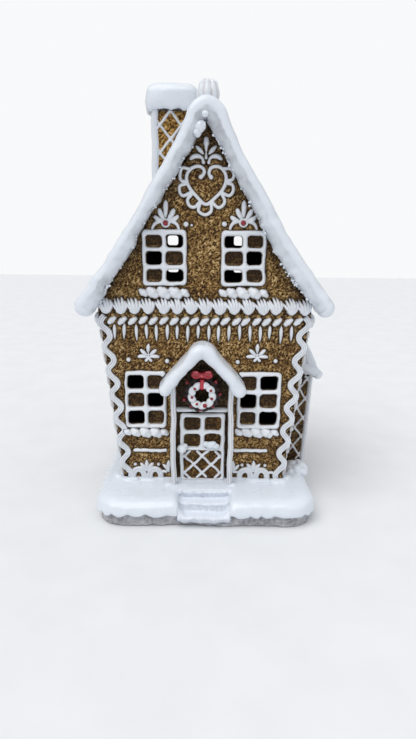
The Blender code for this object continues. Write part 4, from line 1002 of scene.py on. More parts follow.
def scroll(cx, post, sgn, seed_):
    """Arches with a groove along them, a fan where two of them meet."""
    pip = Piping(blend=0.13, aspect=1.1, wobble=0.12, seed=seed_)
    z0 = 17.9
    for s in (-1, 1):
        for off in (0.0, 1.85):
            pts = []
            for t in np.linspace(0.0, PI, 15):
                x = cx + s * (5.3 - (4.5 - off) * math.cos(t))
                z = z0 + (6.5 - off) * math.sin(t) ** 0.8
                pts.append((x, z))
            pip.stroke(pts, 1.06)
        # short outer arc running on to the corner or the post
        pts = [(cx + s * (11.3 - 2.9 * math.cos(t)), z0 + 4.2 * math.sin(t) ** 0.8) for t in np.linspace(0.0, PI * 0.62, 9)]
        pip.stroke(pts, 0.98)
    pip.stroke([(cx, 22.6), (cx, 25.2), (cx + 0.1, 27.4), (cx + 0.1, 29.4)], [0.7, 1.2, 1.45, 0.6])
    for s in (-1, 1):
        pip.stroke(bezier((cx + s * 0.8, 23.8), (cx + s * 2.2, 25.9), (cx + s * 3.9, 27.4), 7), [0.6, 0.9, 1.1, 1.25, 1.25, 1.05, 0.6])
        pip.stroke(bezier((cx + s * 0.8, 22.8), (cx + s * 3.0, 24.8), (cx + s * 5.2, 24.6), 7), [0.6, 0.85, 1.0, 1.1, 1.1, 0.95, 0.6])
    for dx in (-7.4, 7.4):
        pip.dot(cx + dx, 26.8, 1.1)
    # half a fan beside the post
    hx = post
    pip.stroke([(hx, 22.0), (hx - sgn * 0.1, 24.6), (hx - sgn * 0.1, 27.0), (hx, 29.2)], [0.7, 1.15, 1.35, 0.6])
    pip.stroke(bezier((hx - sgn * 0.6, 23.0), (hx - sgn * 2.0, 25.2), (hx - sgn * 3.6, 26.6), 7), [0.6, 0.9, 1.05, 1.15, 1.1, 0.9, 0.5])
    return pip


P_SCROLL = {"left": scroll(-36.2, -22.2, 1, seed()), "right": scroll(32.0, 19.0, -1, seed())}

# door
DX = PORCH_X + 0.2
P_HEADER = Piping(blend=0.3, aspect=1.5, wobble=0.15, seed=seed())
P_HEADER.stroke([(-16.0, 64.0), (-8, 64.2), (0, 64.0), (7, 64.2), (13.4, 63.9)], [1.5, 1.55, 1.5, 1.55, 1.5])

front_pipings = ([("w", s) for s in FRONT_WINDOWS.values()] + [("p", p) for p in
                 [P_SHELL, P_LEAF, P_DROP, P_HEART, P_HEADER, *P_SILL.values(), *P_BAND.values(), *P_PALM.values(),
                  *P_BAR.values(), *P_SCROLL.values()]])


# ------------------------------------------------------------ front wall
def bread_height(u, v, panes=(), beads=(), seed_=0, amp=0.85):
    """Surface of the dough and its paint: (height, ridge, tan)."""
    r = wrinkle(u, v, seed_)
    h = amp * (r - 0.55) + 0.10 * noise(u / 7.0, v / 7.0, 2, seed_)
    ridge = r.copy()
    tan = np.zeros(np.shape(u))
    for (x0, z0, x1, z1) in panes:                # closed panes lie deeper
        d = rect_d(u, v, x0, z0, x1, z1, 2.0)
        t = np.clip((d + 0.4) / 1.1, 0, 1)
        t = t * t * (3 - 2 * t)
        h = h * (1 - 0.45 * t) - 1.6 * t
        # a closed pane's paint is darker: darker pane paint with painted shade in the recess
        ridge = ridge * (1 - t) + t * 0.62 * r
        ledge = np.clip(1 - np.abs(v - (z0 + 0.9)) / 0.85, 0, 1) * (d > 0.1) * np.clip(d * 2, 0, 1)
        h = h + 0.75 * ledge
        # painted highlight along the lit bottom ledge of the recess
        ridge = ridge + ledge * (0.34 + 0.4 * r)
        tan = np.maximum(tan, 0)
    for (x, z, rad) in beads:
        q = np.clip(1 - ((u - x) ** 2 + (v - z) ** 2) / rad ** 2, 0, 1)
        h = np.maximum(h, 1.9 * np.sqrt(q) - 0.2)
        tan = np.maximum(tan, np.clip(q * 2.2, 0, 0.8))
    return h, np.clip(ridge, 0, 1), tan


PITCH = 0.62


def wash_and_shade_of(pipings, u, v, reach=1.5):
    """1 beside the icing and falling off to 0: brown antique paint with painted shade where icing meets dough."""
    best = np.full(np.shape(u), -9.0)
    for p in pipings:
        lo, hi = p.box()
        sel = (u > lo[0] - 2) & (u < hi[0] + 2) & (v > lo[1] - 2) & (v < hi[1] + 2)
        if sel.any():
            best[sel] = np.maximum(best[sel], p.dist(u[sel], v[sel]))
    return np.clip(1 + best / reach, 0, 1)


FRONT_ALL = [p for _, p in front_pipings]
CLOSED = [b for s in FRONT_WINDOWS.values() for k, b in s.panes(0.3) if k not in s.open]
OPEN = [b for s in FRONT_WINDOWS.values() for k, b in s.panes(-0.1) if k in s.open]


def wall_outline(u, v, gable=gable_d):
    d = (wall_half(v) - np.abs(u)) * math.cos(TAPER) - 0.5
    d = np.minimum(d, v - FLOOR)
    return np.minimum(d, gable(u, v) - 0.3)


def front_dist(u, v):
    d = wall_outline(u, v, front_gable_d) + 0.2 * (v > 126)
    for b in OPEN:
        d = np.minimum(d, -rect_d(u, v, *b, 2.0))
    return d


def front_height(u, v):
    return bread_height(u, v, CLOSED, TAN_BEADS, 31)[0]


def front_paint(u, v):
    _, ridge, tan = bread_height(u, v, CLOSED, TAN_BEADS, 31)
    # brown antique paint with painted shade where the icing meets the dough
    w = wash_and_shade_of(FRONT_ALL, u, v, 1.5) ** 1.1
    # panes darker, darkest at their edges: darker pane paint with painted shade in the recess
    for b in OPEN + CLOSED:
        d = rect_d(u, v, *b, 2.0)
        w = np.maximum(w, np.clip(0.64 + 0.28 * np.exp(-np.abs(d) / 0.9), 0, 0.92) * (d > -1.2))
    # deep shade paint inside the porch and under the eaves
    porch = np.clip(1.5 - np.abs(u - PORCH_X) / 19.0, 0, 1) * np.clip((101.0 - 1.16 * np.abs(u - PORCH_X) - v) / 4.0, 0, 1) * (np.abs(u - PORCH_X) < 19.5)
    w = np.maximum(w, 0.98 * np.clip(porch * 4, 0, 1))
    eave = np.clip(1 - front_gable_d(u, v) / 6.0, 0, 1)
    w = np.maximum(w, 0.80 * eave)
    # painted shade, growing towards the apex under the overhang
    w = np.maximum(w, 0.70 * np.clip((v - 203.0) / 16.0, 0, 1))
    # painted shade along the foot of the wall
    w = np.maximum(w, 0.5 * np.clip(1 - (v - FLOOR) / 2.5, 0, 1))
    w = w * (1 - 0.9 * tan)
    return {"ridge": ridge, "wash": np.clip(w, 0, 1), "tan": tan}


st = Store()
relief(st, front_dist, front_height, (-66, 16), (66, 232), PITCH, front(), [(0.0, -0.8), (0.0, -WALL_T)], front_paint)
st.piece("gingerbread_front", BREAD, ("wall_front",))

# ------------------------------------------------------------ front icing
IP = 0.36


def roof_clip(u, v):
    return front_gable_d(u, v) + 0.1


for key, s in FRONT_WINDOWS.items():
    st = Store()
    if key.startswith("upper"):
        pipe(st, s, 0.45, front(), clip=roof_clip)
    else:
        def porch_clip(u, v):
            x = np.abs(u - PORCH_X)
            z = 101.4 + 7.8 * 1.53 - 1.16 * x
            return np.maximum(np.maximum(x - 25.2, (v - z) / 1.53), (101.4 - 1.16 * x - 1.6 - v) / 1.53)
        pipe(st, s, 0.45, front(), clip=porch_clip)
    st.piece("window_" + key + "_icing", ICE, ("window_" + key,))
    st = Store()
    pipe(st, P_SILL[key], 0.42, front())
    st.piece("sill_" + key + "_icing", ICE, ("sill_" + key,))

st = Store()
body = bodies_height(SHELL_BODIES, 2.4)
pipe(st, P_SHELL, IP, front(), body=body)
st.piece("shell_border_front", ICE_GROOVE_SHADE, ("shell_row_front",))
st = Store()
pipe(st, P_LEAF, IP, front(), lift=0.1)
pipe(st, P_DROP, IP, front())
st.piece("leaf_row_front", ICE, ("rope_row_front",))

for nm in ("left", "right"):
    sill_box = P_SILL["lower_" + nm].box()
    win = FRONT_WINDOWS["lower_" + nm]

    def clip(u, v, win=win, pip=P_SILL["lower_" + nm]):
        return np.minimum(-win.dist(u, v) - 0.05, -pip.dist(u, v) - 0.05)

    def clip_all(u, v, win=win, pip=P_SILL["lower_" + nm]):
        x0, z0, x1, z1 = win.outer
        return np.minimum(-rect_d(u, v, x0, z0, x1, z1, 2.6) - 0.1, -pip.dist(u, v) - 0.05)
    st = Store()
    pipe(st, P_BAND[nm], 0.31, front(), clip=clip_all)
    st.piece("corner_ricrac_front_" + nm, ICE_GROOVE_SHADE, ("corner_band_front_" + nm,))
    st = Store()
    pipe(st, P_BAR[nm], IP, front())
    st.piece("bar_icing_" + nm, ICE, ("bar_" + nm,))
    st = Store()
    pipe(st, P_SCROLL[nm], IP, front(), clip=lambda u, v: v - FLOOR + 0.2)
    st.piece("scroll_icing_" + nm, ICE_DIM, ("scroll_" + nm,))

for key, pip in P_PALM.items():
    st = Store()
    pipe(st, pip, 0.32, front(), clip=roof_clip)
    st.piece("palmette_" + key + "_icing", ICE, ("palmette_" + key,))
st = Store()
pipe(st, P_HEART, 0.32, front(), clip=roof_clip)
st.piece("heart_icing", ICE, ("heart",))
st = Store()
for x, z in ((-22.9, 175.9), (21.7, 176.3)):
    blob(st, (x, z, 0.5), (1.42, 1.42, 1.5), 3, 0.05, 16, front(), {"ridge": 0.45})
st.piece("red_beads", RED)


# ------------------------------------------------------------ slabs of snow with a soft front
def resample(pts, n):
    pts = np.asarray(pts, float)
    s = np.concatenate([[0], np.cumsum(np.linalg.norm(np.diff(pts, axis=0), axis=1))])
    t = np.linspace(0, s[-1], n)
    return np.stack([np.interp(t, s, pts[:, k]) for k in range(pts.shape[1])], 1)


def zip_skin(store, P, flip=False, place=None, **att):
    """Rows of closed rings whose point i faces point n-1-i.  The end rings are
    closed by zipping those points together, so a thin bent end closes well."""
    rows, n = P.shape[:2]
    idx = np.arange(rows * n).reshape(rows, n)
    a, b = idx[:-1], idx[1:]
    quads = [np.stack([a, np.roll(a, -1, 1), np.roll(b, -1, 1), b], -1).reshape(-1, 4)]
    half = n // 2
    i = np.arange(half - 1)
    for row, turn in ((0, True), (rows - 1, False)):
        r = idx[row]
        q = np.stack([r[i], r[i + 1], r[n - 2 - i], r[n - 1 - i]], -1)
        quads.append(q[:, ::-1] if turn else q)
    quads = np.vstack(quads)
    if flip:
        quads = quads[:, ::-1]
    store.add(P.reshape(-1, 3), quads, None, place, **{k: np.ravel(x) for k, x in att.items()})


def slab_ring(outer, inner):
    """outer runs left to right over the top, inner right to left below."""
    return np.vstack([outer, inner])


def fold_line(half_x, z_of, slope0, n, arc=16):
    """A roof line, left to right, and its normals; over the ridge the normals
    turn through an arc while the line stands nearly still."""
    side_x = np.linspace(0.8, half_x, n // 2)
    xs = np.concatenate([-side_x[::-1], np.linspace(-0.75, 0.75, arc), side_x])
    sx, sz = z_of(np.abs(xs))
    sx = sx * np.sign(xs)
    a1 = math.atan2(1.0, slope0)
    mid = slice(len(side_x), len(side_x) + arc)
    ang = np.linspace(PI - a1, a1, arc + 2)[1:-1]
    sx[mid], sz[mid] = np.cos(ang), np.sin(ang)
    return xs, sx, sz, mid


def slab(name, xs, base, nx, nz, ys, roll, inner_of, outer_of, nudge, ridge_mid, material, nodes, x_off=0.0, end_pts=22, tone=0.20):
    """Rings round a bent slab.  outer_of and inner_of give its two faces as
    offsets along the normals; roll closes them in towards the rolled rims."""
    rings, cavs = [], []
    for y, r in zip(ys, roll):
        out, cav_out = outer_of(y, r)
        inn, cav_in = inner_of(y, r)
        turn = np.clip(r, 0.0, 1.0) ** 1.5
        # cav on the rims, lower is greyer: the inner face of a rolled rim is grey, painted shade, greyest under the
        # roof's apex (painted shade with some dirt); the outer face greys as it rolls under, painted shade
        lip = tone + 0.14 * noise(xs / 7.0, y / 3.0, 2, 72) + 0.05 * noise(xs / 1.6, y / 1.2, 2, 73) - 0.8 * tone * np.exp(-(xs / 9.0) ** 2) * (tone < 0.3)
        cav_in = np.where(r < 0.999, lip, cav_in)
        cav_out = tone + 0.1 + (cav_out - tone - 0.1) * turn
        mid = (out + inn) / 2
        k = max(r, 0.07)
        out, inn = mid + (out - mid) * k, mid + (inn - mid) * k
        yo = y + nudge(y)
        dx_in, dz_in = nx.copy(), nz.copy()
        dx_in[ridge_mid], dz_in[ridge_mid] = 0.0, 1.12
        outer = np.stack([x_off + base[:, 0] + nx * out, yo, base[:, 1] + nz * out], 1)
        inner = np.stack([x_off + base[:, 0] + dx_in * inn, yo + 0.0, base[:, 1] + dz_in * inn], 1)

        def end(i, sgn):
            o2, i2 = outer[i, [0, 2]], inner[i, [0, 2]]
            c, rad = (o2 + i2) / 2, np.linalg.norm(o2 - i2) / 2
            d = (o2 - i2) / max(2 * rad, 1e-6)
            t = np.array((d[1], -d[0])) * sgn
            a = np.linspace(0, PI, end_pts)[1:-1]
            reach = 1.0 + 0.06 * math.sin(y / 7.0 + sgn)
            q = c + rad * (np.cos(a)[:, None] * d + reach * np.sin(a)[:, None] * t)
            return np.stack([q[:, 0], np.full(len(a), yo[i]), q[:, 1]], 1)
        right, left = end(-1, 1.0), end(0, -1.0)
        m = len(right) // 2
        rings.append(np.vstack([left[:m][::-1], outer, right, inner[::-1], left[m:][::-1]]))
        cavs.append(np.concatenate([np.full(m, 0.75), cav_out, np.full(len(right), 0.75), cav_in[::-1], np.full(len(left) - m, 0.75)]))
    st = Store()
    zip_skin(st, np.array(rings), flip=True, cav=np.array(cavs))
    st.piece(name, material, nodes)


def rolled(y0, y1, deep, n_roll, n_mid):
    """Ring positions from y0 to y1 with both rims rolled over."""
    th = np.linspace(0, PI / 2, n_roll)
    a, r = deep * (1 - np.cos(th)), np.sin(th) ** 0.80
    ys = list(y0 + a)
    out = list(r)
    mids = np.linspace(y0 + deep + 0.6, y1 - deep - 0.6, n_mid)
    return np.array(ys + list(mids) + list((y1 - a)[::-1])), np.array(out + [1.0] * n_mid + list(r[::-1]))


LIP_Y = FRONT_Y + 0.3                      # the blanket is thick in front of the wall


def roof_piece():
    """The roof's snow: a thick soft blanket over the panel, its front and back
    edges rolled over like pillows, with a wavy crusted inner edge."""
    xs, nx, nz, mid = fold_line(ROOF_END, roof_normal, ROOF_SLOPE, 224)
    base = np.stack([xs, roof_z(xs)], 1)
    depth = snow_depth(xs)
    s = np.concatenate([[0], np.cumsum(np.hypot(*np.diff(base, axis=0).T) + 0.35 * (np.abs(xs[1:]) < 0.8))])
    ys, roll = rolled(ROOF_FRONT + 0.25, ROOF_BACK - 0.25, 5.4, 17, 38)
    edge = snow_edge(xs)
    crust = 0.5 + 0.5 * noise(s / 9.0, 2, 1, 63)

    def outer_of(y, r):
        dent = 0.85 * noise(s / 13.0, y / 12.0, 0, 61) + 0.40 * noise(s / 5.5, y / 5.5, 4, 62) + 0.07 * noise(s / 2.4, y / 2.4, 1, 60)
        out = depth - 0.35 + np.minimum(dent, 0.45) + 2.7 * np.exp(-(xs / 4.0) ** 2) * np.clip(1 - (y - ROOF_FRONT) / 12.0, 0, 1)
        cav = np.clip(0.85 + 0.3 * noise(s / 6, y / 6, 3, 69), 0, 1)
        return out, cav

    def inner_of(y, r):
        if y < LIP_Y or y > ROOF_BACK - LIP:
            near = math.exp(-max(0.0, y - ROOF_FRONT - 3.0) / 5.0) if y < 0 else math.exp(-max(0.0, ROOF_BACK - y - 3.0) / 5.0)
            e = edge if y < 0 else -edge[::-1] * 0.5
            drip = 0.75 * noise(s / 4.2, 0, 2, 64) + 0.35 * noise(s / 1.9, 0, 2, 65)
            rough = (0.34 * noise(s / 0.9, y / 0.9, 7, 66) + 0.30 * noise(s / 1.6, y / 1.6, 7, 71)) * (0.4 + 0.9 * crust)
            off = np.where(e > 0, e, e * near) + (drip + rough) * (0.35 + 0.65 * near)
            # patchy grey along the crusted inner edge: painted shade in the crust, with some dirt
            cav = np.clip(0.45 + 0.5 * noise(s / 1.1, y / 1.1, 3, 70) - 0.3 * crust, 0, 1)
            return off, cav
        t = min(1.0, (y - LIP_Y) / 0.8, (ROOF_BACK - LIP - y) / 0.8)
        return np.full(len(xs), (PANEL_OUT + GAP) * max(t, 0.0)) + np.maximum(edge, 0) * (1 - max(t, 0.0)) * (y < 0), np.full(len(xs), 0.4)

    def nudge(y):
        near, far = max(0.0, 1 - (y - ROOF_FRONT) / 9.0), max(0.0, 1 - (ROOF_BACK - y) / 9.0)
        push = 0.5 * noise(s / 11.0, 3, 2, 67) + 0.2 * noise(s / 4.5, 3, 2, 68)
        return (0.3 + 0.6 * push) * near - (0.3 + 0.6 * push) * far
    slab("roof_snow_blanket", xs, base, nx, nz, ys, roll, inner_of, outer_of, nudge, mid, SNOW_ROOF, ("roof_snow",))


roof_piece()


def panel_piece():
    """The baked roof panel that shows from below the eaves."""
    xs = np.concatenate([-np.linspace(62.3, 0.3, 46), np.linspace(0.3, 62.3, 46)])
    sx, sz = roof_normal(xs)
    sx = sx * np.sign(xs)
    k = np.clip(np.abs(xs) / 2.0, 0, 1)
    nx, nz = sx * k, sz * k + (1 - k) * 1.0
    ys = np.linspace(PANEL_IN_FRONT, PANEL_IN_BACK, 50)
    rows, rd = [], []
    s_len = np.concatenate([[0], np.cumsum(np.hypot(np.diff(xs), np.diff(roof_z(xs))))])
    for y in ys:
        r = wrinkle(s_len, np.full(len(xs), y), 81)
        lo = PANEL_IN + 0.35 * (1 - r)
        outer = np.stack([xs + nx * PANEL_OUT, np.full(len(xs), y), roof_z(xs) + nz * PANEL_OUT], 1)
        inner = np.stack([xs + nx * lo, np.full(len(xs), y), roof_z(xs) + nz * lo], 1)
        rows.append(np.vstack([outer, inner[::-1]]))
        rd.append(np.concatenate([r, r[::-1]]))
    st = Store()
    # evenly darkened: painted shade under the snow's overhang
    zip_skin(st, np.array(rows), flip=True, ridge=np.array(rd), wash=np.full((len(ys), 2 * len(xs)), 0.35))
    st.piece("roof_panel_bread", BREAD, ("roof_panel",))


PANEL_IN_BACK = ROOF_BACK - LIP - 0.6 - GAP
PANEL_IN_FRONT = LIP_Y + 0.9
panel_piece()


# ------------------------------------------------------------ ridge: fluted piped shells
def ridge_shell(store, y0, y1, z0, x0, half, high, flutes, sd):
    """A tuft of icing with deep flutes and a ragged crown."""
    rows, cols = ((18, 62))
    h = np.linspace(0, 1, rows)
    a = np.linspace(0, 2 * PI, cols, endpoint=False)
    cy, ry = (y0 + y1) / 2, (y1 - y0) / 2 + 0.5
    P = np.zeros((rows, cols, 3))
    cav = np.zeros((rows, cols))
    rag = 0.75 * noise(np.cos(a) * 2.2, np.sin(a) * 2.2, sd, 90) + 0.5 * np.cos(flutes * a)
    for i, t in enumerate(h):
        prof = (0.90 + 0.14 * math.sin(PI * min(1, t * 1.25)) - 0.10 * t ** 2.5) * (1.0 if t < 0.93 else 1 - (t - 0.93) * 5.5)
        groove = (0.5 + 0.5 * np.cos(flutes * a + 0.9 * t + 0.3 * math.sin(3 * t + sd))) ** 0.7
        k = prof * (0.80 + 0.20 * groove) * (1 + 0.05 * noise(np.cos(a) * 3, np.sin(a) * 3, 3 * t + sd, 91))
        P[i, :, 0] = x0 + half * k * np.cos(a)
        P[i, :, 1] = cy + ry * k * np.sin(a)
        P[i, :, 2] = z0 + high * (t * (1 + 0.11 * rag * t ** 3) - 0.02)
        # flutes and lower rows darker: brown antique paint with painted shade in the flutes, painted shade towards the
        # foot
        cav[i] = groove * (0.5 + 0.5 * t)
    skin(store, P, place=None, cap0=True, cap1=True, flip=False, cav=cav)


st = Store()
ridge_z = ROOF_APEX + SNOW_THIN + GAP
ys = np.linspace(-42.6, ROOF_BACK - 4.4, 9)
for k, (a, b) in enumerate(zip(ys, ys[1:])):
    ridge_shell(st, a, b, ridge_z - 1.6, 0.9 + 0.4 * math.sin(5 * k), 5.9 * (1 + 0.04 * math.cos(7 * k)), 10.6 + 0.4 * math.sin(3 * k + 1.2), 8, k)
st.piece("ridge_piping", ICE, ("ridge_shells",))
crumb = np.random.default_rng(314)
st = Store()
for k in range(170):
    x = float(crumb.uniform(4.0, 61.0)) * (1 if k % 2 else -1)
    if 36.0 < abs(x) < 44.0 and k % 3:
        continue
    nrm_x, nrm_z = (float(q) for q in roof_normal(abs(x)))
    off = float(snow_edge(x)) + crumb.normal(0.15, 0.45)
    r = float(crumb.uniform(0.4, 0.85))
    blob(st, (x + math.copysign(nrm_x, x) * off, ROOF_FRONT + 4.6 + crumb.uniform(-1.6, 1.8), float(roof_z(abs(x))) + nrm_z * off),
         (r, r, r * 1.1), k, 0.18, 5, None, {"cav": 0.5 + 0.4 * (k % 2)})
st.piece("snow_crust_at_eaves", SNOW_ROOF)
st = Store()
blob(st, (-0.6, -46.6, 231.2), (1.8, 1.2, 1.7), 5, 0.10, 18, None, {"cav": 0.7})
blob(st, (-3.1, -44.9, 224.9), (2.8, 2.6, 3.1), 6, 0.22, 26, None, {"cav": 0.7})
blob(st, (-4.6, -44.6, 222.2), (2.1, 2.2, 2.3), 8, 0.20, 20, None, {"cav": 0.7})
st.piece("snow_drops_at_apex", SNOW)


# ------------------------------------------------------------ chimney
def bread_prism(store, ring_fn, zs, seed_, amp=0.4, wash=None, cap=True, clip_z=None):
    """ring_fn(z) -> closed ring of (x, y, nx, ny, s).  Displaced along the normal."""
    rows, rid = [], []
    for z in zs:
        x, y, nx, ny, s = ring_fn(z)
        r = wrinkle(s, np.full(len(s), z), seed_)
        d = amp * (r - 0.6)
        rows.append(np.stack([x + nx * d, y + ny * d, np.full(len(x), z)], 1))
        rid.append(r)
    P, rid = np.array(rows), np.array(rid)
    w = np.zeros_like(rid) if wash is None else wash(P)
    skin(store, P, cap0=cap, cap1=cap, flip=False, ridge=rid, wash=w)


def round_box(x0, y0, x1, y1, r, step):
    pts = []
    for cx, cy, a0 in ((x1 - r, y0 + r, -PI / 2), (x1 - r, y1 - r, 0), (x0 + r, y1 - r, PI / 2), (x0 + r, y0 + r, PI)):
        for a in np.linspace(a0, a0 + PI / 2, 5):
            pts.append((cx + r * math.cos(a), cy + r * math.sin(a)))
    pts.append(pts[0])
    p = resample(pts, int(2 * (x1 - x0 + y1 - y0) / step))[:-1]
    t = np.roll(p, -1, 0) - np.roll(p, 1, 0)
    t /= np.linalg.norm(t, axis=1, keepdims=True)
    s = np.concatenate([[0], np.cumsum(np.linalg.norm(np.diff(p, axis=0), axis=1))])
    return p[:, 0], p[:, 1], t[:, 1], -t[:, 0], s


CHIM_RING = round_box(CHIM_X0 + 0.3, CHIM_Y0 + 0.3, CHIM_X1 - 0.3, CHIM_Y1 - 0.3, 0.9, 0.8)


def y_plane(y, w=0.0):
    return np.array(((1, 0, 0, 0), (0, 0, -1, y - w), (0, 1, 0, 0), (0, 0, 0, 1)), float)


def y_plane_back(y, w=0.0):
    return np.array(((-1, 0, 0, 0), (0, 0, 1, y + w), (0, 1, 0, 0), (0, 0, 0, 1)), float)


def x_plane(x, sign, w=0.0):
    """u runs along sign*y, v up, w outwards along sign*x."""
    return np.array(((0, 0, sign, x + sign * w), (sign, 0, 0, 0), (0, 1, 0, 0), (0, 0, 0, 1)), float)


def roof_top(x):
    x = np.abs(x)
    s = ROOF_SLOPE - np.maximum(x - ROOF_BREAK, 0.0) * EASE
    return roof_z(x) + snow_depth(x) * np.hypot(s, 1.0)


def lattice_pipe(x0, z0, x1, z1, nodes, r, seed_, rim=0.9, slant=0.0):
    """Thin crossed strands. nodes = (x, z, pitch x, pitch z) of one crossing."""
    cx, cz, px, pz = nodes
    pip = Piping(blend=0.18, aspect=1.1, wobble=0.35, seed=seed_)
    slope = pz / px
    span = (z1 - z0) / slope + (x1 - x0)
    n = int(span / px) + 3
    for k in range(-n, n + 1):
        for s in (-1, 1):
            # z - cz = s * slope * (x - cx - k px)
            xs = np.linspace(x0, x1, 25)
            zs = cz + s * slope * (xs - cx - k * px)
            ok = (zs > z0) & (zs < z1)
            if ok.sum() > 2:
                pip.stroke(np.stack([xs[ok] + slant * (zs[ok] - z0), zs[ok]], 1), r)
    return pip


st = Store()
zs = np.arange(176.0, CHIM_TOP + 0.2, 0.8)


def chim_painted_shade(P):
    # painted shade where the shaft meets the roof and under the cap
    near = np.clip(1 - np.abs(P[..., 2] - roof_top(P[..., 0])) / 3.0, 0, 1) * 0.6
    return np.maximum(near, np.clip((P[..., 2] - CHIM_TOP + 3.0) / 3.0, 0, 1) * 0.5)


bread_prism(st, lambda z: CHIM_RING, zs, 41, 0.4, chim_painted_shade)
st.piece("chimney_bread", BREAD_GOLD, ("chimney_shaft",))

st = Store()
for place, u0, u1, node in ((y_plane(CHIM_Y0 + 0.2), CHIM_X0, CHIM_X1, (-22.7, 244.2, 13.6, 16.4)),
                            (y_plane_back(CHIM_Y1 - 0.2), -CHIM_X1, -CHIM_X0, (20.0, 243.0, 13.0, 16.0)),
                            (x_plane(CHIM_X0 + 0.2, -1), -CHIM_Y1, -CHIM_Y0, (-21.0, 243.0, 13.0, 16.0)),
                            (x_plane(CHIM_X1 - 0.2, 1), CHIM_Y0, CHIM_Y1, (21.0, 243.0, 13.0, 16.0))):
    pip = lattice_pipe(u0 + 1.0, 182.0, u1 - 1.0, CHIM_TOP + 1.0, node, 0.85, seed())

    def over_roof(u, v, place=place):
        x = place[0, 0] * u + place[0, 3]
        return (v - roof_top(x) + 1.6) * 0.5
    pipe(st, pip, 0.6, place, clip=lambda u, v, f=over_roof: np.minimum(f(u, v), CHIM_TOP + 0.2 - v))
for x, y, r in ((CHIM_X0 + 1.0, CHIM_Y0 + 1.0, 2.35), (CHIM_X1 - 0.8, CHIM_Y0 + 0.8, 1.6), (CHIM_X0 + 1.0, CHIM_Y1 - 1.0, 2.3), (CHIM_X1 - 0.8, CHIM_Y1 - 0.8, 1.6)):
    z = np.linspace(float(roof_top(x)) - 4.0, CHIM_TOP + 2.0, 40)
    rope(st, np.stack([x + 0.25 * np.sin(z / 4.3), y + 0.2 * np.sin(z / 5.1), z], 1), r, 0.8, 0.05, 22, 1.4, 3, seed=int(r * 10), cav=0.8)
st.piece("chimney_piping", ICE_DIM, ("chimney_lattice",))


def cushion(store, cx, cy, rx, ry, z0, z1, rows_spec, cols, drip, seed_, power=5.0, lump=0.35):
    """A squarish pillow of snow.  rows_spec = (radius inset, z, drip share)."""
    a = np.linspace(0, 2 * PI, cols, endpoint=False)
    c, s = np.cos(a), np.sin(a)
    q = (np.abs(c) ** power + np.abs(s) ** power) ** (-1 / power)
    wave = drip * (0.55 * noise(c * 3.0 + 4, s * 3.0, 1, seed_) + 0.45 * noise(c * 6.5, s * 6.5, 2, seed_ + 1))
    rows, cav = [], []
    for inset, z, share in rows_spec:
        k = lump * noise(c * q * 1.9, s * q * 1.9, z / 5.0, seed_ + 2)
        x = cx + (rx - inset + k) * q * c
        y = cy + (ry - inset + k) * q * s
        rows.append(np.stack([x, y, z + wave * share + 0.2 * k], 1))
        # lower rows greyer: painted shade under the cap and on its drips; the lumps vary it at random
        cav.append(np.full(cols, 0.15 + 0.85 * np.clip((z - z0) / (z1 - z0) * 2.2, 0, 1)) * np.clip(0.75 + 0.5 * k, 0.3, 1))
    P = np.array(rows)
    skin(store, P, flip=False, cav=np.array(cav))


st = Store()
cx, cy = (CHIM_X0 + CHIM_X1) / 2, (CHIM_Y0 + CHIM_Y1) / 2
top = (CHIM_X1 - CHIM_X0) / 2 + CAP_OVER
spec = [(5.5, 246.0, 0.0), (3.4, 246.0, 0.4), (2.0, 244.8, 1.0), (0.9, 244.9, 1.0), (0.2, 246.2, 0.9), (0.0, 248.0, 0.45), (0.0, 250.0, 0.1), (0.1, 252.5, 0.0)]
for k in range(1, 15):
    t = k / 14 * PI / 2
    spec.append((0.1 + 6.2 * (1 - math.cos(t)), 253.4 + 6.9 * math.sin(t), 0.0))
for k in range(1, 9):
    spec.append((6.3 + k * (top - 6.3) / 9, 260.3 + 0.15 * math.sin(k / 9 * PI), 0.0))
cushion(st, cx - 0.5, cy, top + 1.0, top + 0.4, 243.2, 261.0, spec, 130, 2.3, 131, 5.2)
st.piece("chimney_cap_snow", SNOW, ("chimney_cap",))


